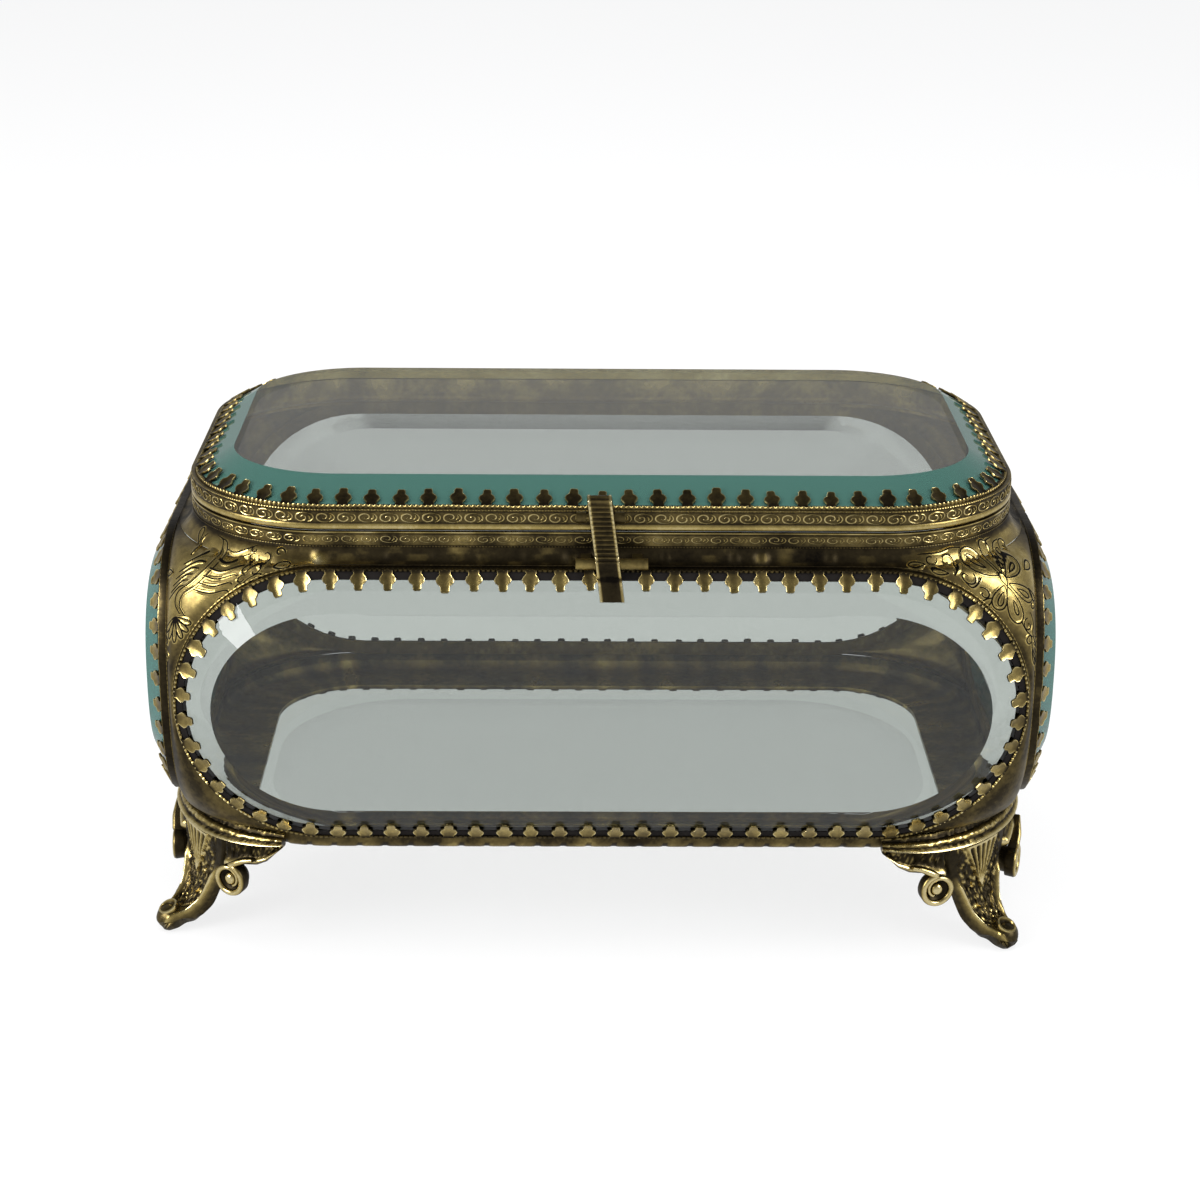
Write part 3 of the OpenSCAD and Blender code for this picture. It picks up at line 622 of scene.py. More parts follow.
def add_prongs(pile, side, size, made):
    """Prongs along a panel's outline. The rim of a prong is raised over its flat face; each copy
    is scaled, turned and lifted a little by seeded chance, and lies on the glass's bevel."""
    length = made.prong_length / MM * {"base": 0.5, "rear": 0.75}.get(side, 1.0)
    half = np.array([[0.98, 0.0], [0.86, 0.2], [1.3, 0.34], [1.5, 0.47], [1.3, 0.6], [0.76, 0.72],
                     [0.74, 0.92], [0.5, 1.0]])
    shape = np.vstack([half, half[::-1] * [-1, 1]]) * [1.0, length]
    middle = np.array([0.0, 0.5 * length])
    levels = [(shape, 0.0), (shape, 0.34), (middle + (shape - middle) * 0.985, 0.4),
              (middle + (shape - middle) * [0.84, 0.92], 0.33)]
    local_x, local_y = np.concatenate([p for p, _ in levels]).T
    n = len(shape)
    z = np.repeat([level for _, level in levels], n)
    path = outline(size, SEAT_EDGE)
    # The outline has ten steps for each prong, which stands in the middle of them
    points, out = (v[5::10] for v in spread(path, steps_round(path, made.prong_pitch / MM) * 10))
    rng = np.random.default_rng(int(size[0] * 10 + size[1]))
    if side == "front":
        # The hasp's strap hangs over a short gap in the row
        keep = ~((points[:, 1] > 0) & (points[:, 0] > -1.9) & (points[:, 0] < 5.1))
        points, out = points[keep], out[keep]
    chance = rng.normal(0, made.unevenness, (len(points), 4))
    scale, turn = 1 + 0.7 * chance[:, :1], chance[:, 1:2]
    x = scale * (local_x * np.cos(turn) - local_y * np.sin(turn))
    y = scale * (local_x * np.sin(turn) + local_y * np.cos(turn))
    tilt = TILT + 0.5 * chance[:, 2:3] + 0.01
    along = np.stack([-out[:, 1], out[:, 0]], -1)
    root = GLASS_EDGE + 0.2 - 0.4 * math.tan(TILT) + np.abs(chance[:, 3:4])
    inward = y * np.cos(tilt) - z * np.sin(tilt)
    plan = points[:, None] + x[..., None] * along[:, None] - inward[..., None] * out[:, None]
    height = root + y * np.sin(tilt) + z * np.cos(tilt)
    # Prongs darken towards their roots: painted shade of the gap under the strip that they rise from
    worn = ramp(shape[:, 1], 0, 0.3 * length)
    relief = (np.array([0.1, 0.6, 1.0, 0.2 if side == "lid" else 0.55])[:, None] * worn).reshape(-1)
    faces = [grid(4, n), np.arange(n)[None], 3 * n + np.arange(n)[None, ::-1]]
    pile.add(on_side(side, plan[..., 0], plan[..., 1], height), relief, faces)


def add_wall(pile, side, size, made):
    """A strip's scalloped wall, the beaded edge beside it and a near-black band inside it, painted
    shade of the deep gap under the strip, each a section swept along the panel's outline; the
    wall's top goes as the sine's size along the way."""
    path = outline(size, SEAT_EDGE)
    count = steps_round(path, made.scallop / MM) * 6
    points, out = spread(path, count)
    wave = np.abs(np.sin(np.pi * np.arange(count) / 6))[:, None]
    one, flat, plain = np.ones_like(wave), side in ("lid", "base"), side in ("left", "right")

    def along(offset, z, relief, slot=0):
        """Sweeps a section, given as distances outward and heights, along the outline."""
        offset, z = np.broadcast_arrays(offset, z)
        plan = points[:, None] + out[:, None] * offset[..., None]
        add_loop(pile, on_side(side, plan[..., 0], plan[..., 1], z), relief, slot)

    scallop = 0.03 if plain else 0.2
    top = made.height / MM * (1 - scallop + scallop * wave) + 0.05 * ripple(count, 5, 3, 60)[:, None]
    # The walls' upper edge has a painted highlight at the round ends, which face sideways, and is
    # darker along the straight runs
    side_highlight = one if flat else 0.25 + 0.75 * np.clip(2.2 * np.abs(out[:, :1]), 0, 1)
    outer, crown = (0.05 * one, 0.8 * one) if plain else (0.2 + 0.3 * wave, 0.4 + 0.5 * wave)
    along(np.array([0.25, 0.25, 0.16, -0.16, -0.25, -0.25]),
          np.concatenate([0 * one, top - 0.14, top, top, top - 0.14, 0 * one], 1),
          np.concatenate([0 * one, side_highlight * outer, side_highlight * crown, side_highlight * (0.3 + 0.3 * wave), 0.1 * one,
                          0 * one], 1))
    if not flat:
        turn = circle(6) + math.pi / 6
        girth = 0.07 + 0.01 * wave if plain else 0.1 + 0.03 * wave
        along(0.5 + girth * np.cos(turn), 0.1 + girth * np.sin(turn), side_highlight * (0.3 + 0.3 * wave))
    # Slot 1 is the near-black band on the bevel inside the wall: painted shade of the gap under the strip
    shade_width = 0.35 if flat else 1.25
    depth = np.array([0.27, 0.27, 0.27 + shade_width, 0.27 + shade_width])
    surface = GLASS_EDGE + np.maximum(0, depth - 0.4) * math.tan(TILT) + [0.02, 0.10, 0.05, 0.02]
    along(np.repeat(-depth[None], count, 0), surface, 0.0, 1)


class CASKET_OT_add_strips(bpy.types.Operator):
    """Replaces the six pronged strips with scalloped walls, beaded edges and rimmed prongs"""
    bl_idname = "casket.add_strips"
    bl_label = "Add pronged strips"

    def execute(self, context):
        for side, size in PANELS.items():
            pile = Pile()
            add_wall(pile, side, size, context.scene.casket_strip)
            add_prongs(pile, side, size, context.scene.casket_strip)
            pile.build(side + "_pronged_strip", body_of(side), ["strip_brass", "painted_gap_shade"],
                       side + "_strip")
        return {"FINISHED"}


def add_vine(pile, middle, swing, pitch, width, height):
    """A running scroll round the box: at every step a hooked leaf curls over, and a stem sweeps
    from its root up to the next one; every other step is turned upside down. Each curve runs
    smoothly through its key points."""
    steps = 2 * int(round(ring_length(BAND_R) / pitch / 2))
    step = ring_length(BAND_R) / steps
    hook = [(0.9, -0.9), (-0.1, -1.0), (-1.1, -0.55), (-1.25, 0.3), (-0.5, 0.85), (0.3, 0.6), (0.45, 0.0),
            (0.0, -0.35), (-0.4, -0.1)]
    stem = [(0.9, -0.9), (1.5, -0.6), (1.75, 0.1), (1.3, 0.75), (0.75, 0.95)]
    leaf = [(0.85, -0.35), (1.15, 0.0), (1.1, 0.5)]
    sign = np.where(np.arange(steps) % 2 == 0, 1.0, -1.0)[:, None]
    start = (np.arange(steps)[:, None] + 0.5) * step
    for keys, broad, crest in ((hook, 1.0, 1.0), (stem, 0.9, 0.9), (leaf, 1.1, 0.8)):
        curve = even(smooth(keys, 60), 20)
        curves = np.stack([start + curve[:, 0] * step / 3.6, middle + sign * swing * curve[:, 1]], -1)
        add_ribbons(pile, curves, broad * width, height, ring_map(BAND_R), crest, foot=0.0)


def add_beads(pile, pitch, distance, height, size, dark, bright):
    """A thin wire round the box: its girth doubles, and its relief grows, at every bead."""
    count = 5 * int(round(ring_length(BAND_R) / pitch))
    wave = np.abs(np.sin(np.pi * np.arange(count) / 5))[:, None]
    turn, girth = circle(6), size * (1 + wave)
    sections = ring_sweep(count, distance + girth * np.cos(turn), height + girth * np.sin(turn), BAND_R)
    add_loop(pile, sections, dark + bright * wave)


class CASKET_OT_add_lid_band(bpy.types.Operator):
    """Replaces the lid band with a rolled one: bead row, running vine and bright lip"""
    bl_idname = "casket.add_lid_band"
    bl_label = "Add lid band"

    def execute(self, context):
        made = context.scene.casket_ornament
        pile = Pile()
        out, height, relief = np.array([
            [25.2, 80.89, 0.8], [25.45, 80.89, 0.0], [25.8, 81.14, 0.0], [26.06, 81.2, 0.1],
            [26.16, 81.4, 0.7], [26.19, 81.65, 0.8], [26.16, 81.95, 0.72], [26.08, 82.2, 0.6],
            [25.98, 82.36, 0.12], [25.98, 82.5, 0.2], [26.0, 82.7, 0.3], [26.0, 84.3, 0.3],
            [25.98, 84.5, 0.1], [26.0, 84.62, 0.3], [25.95, 84.8, 0.4], [25.8, 84.87, 0.4],
            [25.4, 84.88, 0.3], [25.2, 84.7, 0.8]]).T
        count = 900
        relief = relief + 0.03 * ripple(count, 11, 3, 40)[:, None]
        add_loop(pile, ring_sweep(count, out, height, BAND_R), relief)
        add_vine(pile, 83.42, 0.84, made.vine_pitch / MM, 0.21, 0.18)
        add_beads(pile, made.bead_pitch / MM, 25.95, 84.74, 0.07, 0.1, 0.7)
        pile.build("lid_band_engraved", "lid", ["engraved_brass"], "lid_band")
        return {"FINISHED"}


def solder(count, steps, share, x):
    """The shoulder's uneven solder, as lumps and tone. Lumps swell as a squared sine down the
    hollow; the tone has blotches, and flecks that grow brighter towards the left end. At the
    corners there are no lumps, and the tone rises evenly from a dark upper edge."""
    way = np.linspace(0, 1, steps)
    lumps = np.clip(ripple(count, 3, 8, 120) - 0.2, 0, 1.4)[:, None] * (1 - share)
    lumps = lumps * np.sin(np.linspace(0.25, np.pi - 0.1, steps)) ** 2
    blotch = np.stack([ripple(count, 20 + k // 3, 10, 90) for k in range(steps)], -1)
    fleck = np.clip(ripple(count, 31, 4, 30) + 0.5 - 0.02 * np.abs(x + 60), 0, 1)[:, None]
    tone = 0.08 + np.clip(0.22 * blotch, 0, 1) + 0.45 * np.clip(lumps - 0.45, 0, 1) + 0.45 * fleck * way
    return lumps, tone + share * (0.06 + 0.52 * ramp(way, 0, 0.35) + 0.06 * blotch - tone)


class CASKET_OT_add_rim(bpy.types.Operator):
    """Replaces the rim with an engraved one over a dark, soldered shoulder"""
    bl_idname = "casket.add_rim"
    bl_label = "Add rim"

    def execute(self, context):
        made = context.scene.casket_ornament
        pile = Pile()
        rim = np.array([[25.2, 80.7, 0.6], [25.4, 80.85, 0.4], [26.0, 80.85, 0.6], [26.14, 80.78, 0.75],
                        [26.16, 80.6, 0.6], [26.0, 80.45, 0.3], [25.97, 80.3, 0.15], [26.0, 80.1, 0.35],
                        [26.0, 78.4, 0.3], [25.95, 78.2, 0.0]])
        count, steps = 1160, 10
        s = np.arange(count) / count * ring_length(BAND_R)
        # Angle from the middle of the nearest corner, read where the walls turn
        spot = ring_point(s, np.full(count, BAND_R), np.zeros(count), BAND_R)
        beyond = np.maximum(np.abs(spot[:, :2]) - CORE, 0)
        share = corner_share(np.degrees(np.arctan2(beyond[:, 1], beyond[:, 0])) - 45)[:, None]
        way = np.linspace(0, 1, steps)
        out, height = shoulder_point(way, share)
        back_out, back_height = shoulder_point(way[::-1], 0 * share)
        lumps, tone = solder(count, steps, share, spot[:, 0])
        edge_out, edge_height, edge_tone = (np.repeat(rim[None, :, k], count, 0) for k in range(3))
        edge_tone += 0.12 * ripple(count, 41, 6, 60)[:, None] * (edge_tone > 0.2)
        # A sole turned down inside the wall closes the seam to the sheets below
        sole_out, sole_height = np.full((count, 1), WALL_R - 0.75), np.full((count, 1), WINDOW_TOP - 0.8)
        u = np.concatenate([edge_out, out + LUMP * lumps, sole_out, back_out - SHEET], 1)
        z = np.concatenate([edge_height, height + 0.6 * LUMP * lumps, sole_height, back_height], 1)
        value = np.concatenate([edge_tone, tone, np.full((count, steps + 1), 0.5)], 1)
        add_loop(pile, ring_sweep(count, u, z, BAND_R), value)
        add_vine(pile, 79.45, 0.62, made.rim_pitch / MM, 0.15, 0.12)
        add_beads(pile, made.bead_pitch / MM, 26.05, 78.1, 0.06, 0.05, 0.35)
        pile.build("rim_engraved", "case", ["engraved_brass"], "rim")
        return {"FINISHED"}


def petals(*rows):
    """Petals, each from its x, y, heading, length and width."""
    return [petal(row[:2], *row[2:]) for row in rows]


def curls(*rows):
    """Curls, each from its x, y, first and last radius, and first and last angle."""
    return [spiral(row[:2], *row[2:]) for row in rows]


def stems(*rows):
    """Smooth stems, each through its key points."""
    return [smooth(row, 18) for row in rows]


def flower_lines():
    """Line drawing of an open flower with leaves and tendrils: places are (across, height)."""
    lines = petals((0, -1.0, 90, 2.1, 0.8), (-0.4, 0.8, 138, 6.0, 2.3), (0.3, 1.0, 78, 5.0, 1.5),
                   (0.7, 0.3, 20, 5.4, 1.5), (0.6, -0.7, -40, 5.6, 1.6), (-0.5, -0.8, -132, 5.0, 1.6),
                   (0.0, -1.1, -92, 6.4, 1.9), (-1.9, 2.1, 138, 2.8, 0.6), (-1.3, -1.8, -128, 2.8, 0.6),
                   (1.9, -1.8, -42, 2.8, 0.6), (0.1, -3.4, -92, 2.6, 0.5), (2.2, 0.9, 20, 2.4, 0.4))
    lines += curls(*((1.3 + 0.95 * k, 2.0 + 0.35 * k, 0.45, 0.42, 20, 380) for k in range(4)))
    lines += curls((-6.6, 1.2, 1.6, 0.3, 20, -330), (-8.4, 3.6, 1.5, 0.35, -60, 300),
                   (-5.0, -1.8, 1.2, 0.25, 100, -240), (-11.4, 4.2, 1.3, 0.3, 0, -330),
                   (1.8, -8.2, 1.3, 0.3, 80, 420), (3.0, -11.6, 1.0, 0.25, 80, -260),
                   (1.4, -11.0, 1.1, 0.3, 30, 330), (6.4, 3.6, 1.4, 0.3, 200, -140),
                   (4.4, -5.2, 1.0, 0.25, 60, -280), (3.0, -15.0, 0.9, 0.2, 60, 400))
    lines += stems([(-4.4, 5.4), (-6.6, 5.8), (-9.4, 5.2), (-13.6, 5.4)],
                   [(-4.0, 1.0), (-5.0, 0.2), (-6.6, -0.6), (-7.4, 0.4)],
                   [(-4.6, 2.6), (-6.0, 3.2), (-7.0, 2.6), (-8.6, 1.6)],
                   [(0.4, -7.2), (1.0, -9.0), (2.0, -10.4), (1.8, -13.0), (2.8, -17.0)],
                   [(3.2, -6.2), (3.4, -8.4), (2.6, -10.0), (3.6, -13.0)],
                   [(1.6, 4.4), (2.4, 5.4), (4.0, 5.6)], [(3.0, 3.6), (4.0, 4.6), (5.6, 4.8)])
    lines += petals((-3.8, -2.6, -150, 2.6, 0.7), (1.8, -12.6, -80, 3.0, 0.7), (-9.4, 2.0, 170, 2.6, 0.6),
                    (4.8, -2.4, -70, 2.6, 0.6), (-12.6, 3.4, 175, 3.0, 0.7), (6.4, 0.4, 10, 2.6, 0.8))
    return [line + (-2.2, 72.3) for line in lines]


def feather_lines():
    """Line drawing of long feathers on both sides of an S-shaped band: places are (across,
    height)."""
    band = smooth([(2.0, 5.4), (0.2, 5.0), (-0.8, 3.2), (-0.6, 0.8), (0.8, -1.6), (2.6, -3.4), (2.4, -5.4),
                   (0.6, -6.8)], 40)
    lines = [band, band + (-1.3, -0.2)]
    for k in range(6):
        lines += stems([(0.4 * k, 2.8 - k), (2.0 + 0.2 * k, 2.6 - 1.1 * k), (4.6, 0.6 - 1.2 * k)],
                       [(-2.0 + 0.3 * k, 3.6 - 1.2 * k), (-4.0, 3.4 - 1.2 * k), (-6.4, 4.6 - 1.3 * k),
                        (-7.2, 5.2 - 1.5 * k)])
        lines += petals((1.4, -7.6, -60 - 22 * k, 4.6 - 0.3 * abs(k - 2), 0.6))
    lines += curls(*((-7.8 - 0.2 * k, 4.6 - 1.5 * k, 0.8, 0.3, 100, -200) for k in range(5)))
    lines += curls((-10.4, 3.8, 1.5, 0.3, 0, -340), (-12.8, 4.8, 1.0, 0.3, 180, -120),
                   (-9.8, 1.6, 1.2, 0.3, 0, 340), (-6.6, -4.0, 1.0, 0.2, 90, -300),
                   (3.0, -12.6, 1.0, 0.25, 0, 380), (2.4, -15.4, 0.9, 0.25, 180, -200))
    lines += stems([(4.8, 2.0), (5.6, 3.4), (5.0, 5.0)])
    lines += petals((6.0, 2.8, 60, 3.2, 0.8), (6.6, -1.2, -20, 2.6, 0.7), (-9.0, -0.4, 150, 2.8, 0.7),
                    (-12.4, 2.4, 170, 2.8, 0.7))
    return [line + (-1.6, 72.6) for line in lines]


class CASKET_OT_add_corners(bpy.types.Operator):
    """Replaces the four corner sheets with engraved ones"""
    bl_idname = "casket.add_corners"
    bl_label = "Add corner sheets"

    def execute(self, context):
        line = context.scene.casket_ornament.line / MM
        table = points, side, length = corner_table()
        rows = np.arange(CORNER_ROWS)[:, None] / CORNER_ROWS * 6
        cols = np.arange(CORNER_COLS)[None] / CORNER_COLS * 5
        across = np.linspace(-0.5, 0.5, CORNER_COLS) * length[:, None]
        z = points[..., 2]
        # The sheet is lighter round the engraving's middle, and its upper edge tucks in
        glow = np.exp(-((across / 11.0) ** 2 + ((z - 72.0) / 10.0) ** 2))
        tuck = 0.05 + 0.1 * ramp(z, WINDOW_TOP - 0.5, WINDOW_TOP)
        for seed, (name, (sx, sy)) in enumerate(CORNERS.items()):
            mirror = np.array([sx, sy, 1.0])
            dent = np.sin(rows * 1.7 + seed) * np.cos(cols * 2.3 + 2 * seed)
            dent += np.sin(rows * 3.9 + cols * 3.1 + seed)
            front = points + side * (0.02 * dent - tuck)[..., None]
            pile = Pile()
            add_slab(pile, front * mirror, (points - side * SHEET) * mirror,
                     0.26 + 0.48 * glow + 0.06 * dent)
            lines = flower_lines() if sx * sy < 0 else feather_lines()
            curves, mapping = np.stack([even(path, 26) for path in lines]), corner_map(table, mirror)
            add_ribbons(pile, curves, 2.8 * line, 0.05, mapping, crest=0.85, foot=0.55, sink=0.1)
            add_ribbons(pile, curves, line, 0.1, mapping, crest=-0.4, foot=-0.4, sink=0.1, taper=0.7)
            pile.build("corner_" + name + "_engraved", "case", ["engraved_brass"], "corner_" + name)
        return {"FINISHED"}


PIVOT_Y, PIVOT_Z = -45.6, 84.4      # hasp pin
CATCH_Y, CATCH_Z = -47.4, 76.4      # catch tube
STRAP_Y, STRAP_TOP, STRAP_FOOT = -48.2, 88.45, 70.4
CURL_R, HUG_R = 1.35, 1.75          # the strap's turn over its pin, and round the catch tube


def strap_path():
    """The strap from the side, as (y, z): up from its pin, over in a half circle, down the front,
    round the catch tube and out at the foot."""
    over, round_tube = np.radians(np.linspace(0, 180, 15)), np.radians(np.linspace(155, 205, 7))
    return even(np.concatenate([
        [[PIVOT_Y, PIVOT_Z + 0.9]],
        np.stack([STRAP_Y + CURL_R * (1 + np.cos(over)), STRAP_TOP - CURL_R * (1 - np.sin(over))], -1),
        [[STRAP_Y, CATCH_Z + HUG_R + 0.6]],
        np.stack([CATCH_Y + HUG_R * np.cos(round_tube), CATCH_Z + HUG_R * np.sin(round_tube)], -1),
        [[CATCH_Y - HUG_R + 0.1, CATCH_Z - 1.9], [CATCH_Y - HUG_R - 0.1, 73.0],
         [-50.35, STRAP_FOOT]]]), 300)


def lathe(profile, count):
    """A round face: rings from rows of radius, depth and relief, as (depth, sideways, up)."""
    turn, r, depth = circle(count), profile[:, :1], profile[:, 1:2]
    rings = np.stack(np.broadcast_arrays(depth, r * np.cos(turn), r * np.sin(turn)), -1)
    return rings, np.repeat(profile[:, 2:], count, 1)


def lean(z):
    """How far to the right the slightly crooked strap lies at a height."""
    return -0.8 + 2.4 * (STRAP_TOP + 0.4 - z) / (STRAP_TOP + 0.4 - STRAP_FOOT)


class CASKET_OT_add_hasp(bpy.types.Operator):
    """Replaces the hasp strap with a ribbed one with serrated bright edges"""
    bl_idname = "casket.add_hasp"
    bl_label = "Add hasp"

    def execute(self, context):
        path = strap_path()
        y, z = path.T
        front = (y < STRAP_Y + CURL_R) & (z > CATCH_Z + 0.7)
        ribbed = np.convolve(front.astype(float), np.ones(9) / 9, "same")[:, None]
        turns = travel(path) / (context.scene.casket_ornament.rib_pitch / MM)
        wave = (0.5 + 0.5 * np.cos(2 * np.pi * turns))[:, None] * ribbed
        # The crease under the catch tube is also darkened: painted shade of the recess there
        crease_and_shade = (np.exp(-((z - 74.2) / 0.35) ** 2) * (y < STRAP_Y + 1))[:, None]
        # Half a cross-section: across, lift, and how ribs lift it, its relief and what ribs add
        half = np.array([[2.0, 0.0, 0.0, 0.4, 0.0], [1.9, 0.34, 0.06, 1.0, 0.0],
                         [1.65, 0.4, 0.16, 0.95, 0.1], [1.4, 0.3, 0.28, 0.25, 0.28],
                         [0.7, 0.3, 0.28, 0.2, 0.24], [0.0, 0.3, 0.28, 0.22, 0.26],
                         [0.0, -0.4, 0.0, 0.2, 0.0], [1.9, -0.38, 0.0, 0.2, 0.0]])
        left = half * [-1, 1, 1, 1, 1]
        across, lift, rib, shade, tone = np.vstack([left[:6], half[4::-1], half[7:], left[6:]]).T
        height = lift + rib * (wave - 0.35 * ribbed) - 0.2 * crease_and_shade * (lift > 0)
        plan = path[:, None] - leftward(path)[:, None] * height[..., None]
        x = lean(z)[:, None] + 1.08 * across
        relief = np.clip(shade + tone * (wave - 0.3) - 0.6 * crease_and_shade, 0, 1)
        pile = Pile()
        add_tubes(pile, np.stack([x, plan[..., 0], plan[..., 1]], -1)[None], relief[None])
        # Eye round the pin, placed between the strap's lean there and at its top
        eye, _ = lathe(np.array([[1.0, -2.0, 0], [1.0, 2.0, 0], [0.5, 2.0, 0], [0.5, -2.0, 0]]), 28)
        middle = (lean(STRAP_TOP + 0.4) + lean(PIVOT_Z)) / 2
        add_loop(pile, eye + [middle, PIVOT_Y, PIVOT_Z], 0.45)
        pile.build("hasp_strap_ribbed", "hasp", ["engraved_brass"], "hasp_strap")
        return {"FINISHED"}


LEG = np.array([  # front distance, front height, back distance, back height, half width
    [31.3, 19.6, 27.2, 19.0, 9.0], [31.3, 17.2, 27.2, 17.2, 8.9], [31.3, 15.2, 27.0, 15.0, 8.4],
    [31.2, 13.0, 27.3, 13.0, 7.4], [31.3, 11.2, 27.8, 11.2, 6.5], [31.7, 9.1, 29.0, 7.5, 5.6],
    [32.6, 6.9, 30.0, 4.8, 4.8], [33.9, 5.4, 31.6, 3.0, 4.1], [35.3, 4.8, 33.0, 1.4, 3.5],
    [36.5, 4.75, 34.4, 0.9, 3.0], [37.5, 4.7, 35.4, 0.3, 2.75], [38.7, 4.2, 36.1, 0.05, 2.65],
    [39.5, 3.2, 36.8, 0.0, 2.4], [39.8, 2.0, 37.7, 0.0, 2.0], [39.2, 0.9, 38.4, 0.1, 1.1]])
LEG_ROWS = 96
FAN_FOOT, FAN_SPREAD = 10.2, 0.47       # height where the fan starts, and its half width's slope
SCROLL_R, SCROLL_OUT = 28.4, 4.3        # how far a scroll stands from the corner, and further out
SCROLL_Z = {-1: 11.0, 1: 13.4}          # heights of the scroll on the side and of the front one
CUP_X, CUP_Z, CUP_TILT = 37.3, 4.3, math.radians(62)


def coarse(values, rows, cols):
    """Each value filling a cell of two rows and two columns."""
    return np.repeat(np.repeat(values, 2, 0), 2, 1)[:rows, :cols]


def turned(angle):
    """Matrix that turns rows of points about the upright by an angle."""
    c, s = math.cos(angle), math.sin(angle)
    return np.array([[c, s, 0], [-s, c, 0], [0, 0, 1]])


def leg_sections(hammer):
    """The leg as loops across it: the rows run through keyed front and back points. Its front is
    a height field: inside a V that opens upwards, five dark slots fan out between cosine ribs;
    outside it lies a hammered hollow, with a ridge near each side lower down. Towards the toe
    it swells as a circle does, and higher up it bends with the corner's round."""
    rows, cols = LEG_ROWS, 81
    keyed = smooth(LEG, rows)
    front, back, half = keyed[:, :2], keyed[:, 2:4], keyed[:, 4:]
    across = np.linspace(-1, 1, cols)
    x, z = half * across, front[:, 1:]
    toe = ramp(front[:, :1], 34.0, 37.0)
    q = x / np.maximum(FAN_SPREAD * (z - FAN_FOOT), 0.02)
    inside = ramp(np.abs(q), 1.15, 1.03) * (z > FAN_FOOT) * (toe == 0)
    slots = ramp(z, 11.8, 14.2) * ramp(z, 19.2, 18.7)
    rib = 1 - slots * (0.5 - 0.5 * np.cos(2 * np.pi * (q - 0.2) / 0.4))
    ridge = np.exp(-((np.abs(across) - 0.86) / 0.1) ** 2) * ramp(z, 14.0, 11.5)
    rng = np.random.default_rng(4)
    dents = coarse(rng.normal(0, 1, (rows // 2, 41)), rows, cols)
    # Bright flecks in the hammered hollow are painted glints of its facets
    leg_painted_glints = coarse(rng.random((rows // 2, 41)) > 0.8, rows, cols).astype(float)
    leg_painted_glints = (leg_painted_glints + np.roll(leg_painted_glints, 1, 0) + np.roll(leg_painted_glints, 1, 1) + np.roll(leg_painted_glints, (1, 1), (0, 1))) / 3
    hollow = (1 - inside) * ramp(np.abs(across), 0.76, 0.72) * (1 - toe)
    lift = inside * 0.75 * (rib - 1) + (1 - inside) * (0.95 * ridge - 0.65) + hammer * dents * hollow
    lift = (lift - 0.8 * ramp(np.abs(across), 0.93, 1.0)) * (1 - 0.8 * toe)
    lift -= (0.25 + 2.0 * toe) * (1 - np.sqrt(1 - 0.96 * across**2)) * ramp(z, 15.0, 12.0)
    bend = x**2 / 61.0 * ramp(z, 9.0, 13.0)
    out = leftward(front)
    face = np.stack([front[:, :1] + out[:, :1] * lift - bend, x,
                     np.maximum(z + out[:, 1:] * lift, 0.0)], -1)
    pull = np.array([0.5, 0.15, 0.0, 0.0, 0.15, 0.5]) * (0.2 + 0.8 * toe)
    rear = back[:, None] + pull[..., None] * (front - back)[:, None]
    rear = np.stack([rear[..., 0], half * [0.96, 0.8, 0.4, -0.4, -0.8, -0.96],
                     np.maximum(rear[..., 1], 0.0)], -1)
    tone = inside * (0.02 + 0.93 * rib**2) + (1 - inside) * (0.08 + 0.92 * ridge) + 0.6 * leg_painted_glints * hollow
    relief = np.clip(tone, 0, 1) * (1 - 0.5 * toe) + 0.25 * toe
    return np.concatenate([face, rear], 1), np.concatenate([relief, np.full((rows, 6), 0.14)], 1)


def polar(angle, distance, z):
    """A foot's own place: angle from the leg in degrees, distance from the corner's centre."""
    a = np.radians(angle)
    return np.stack(np.broadcast_arrays(distance * np.cos(a), distance * np.sin(a), z), -1)


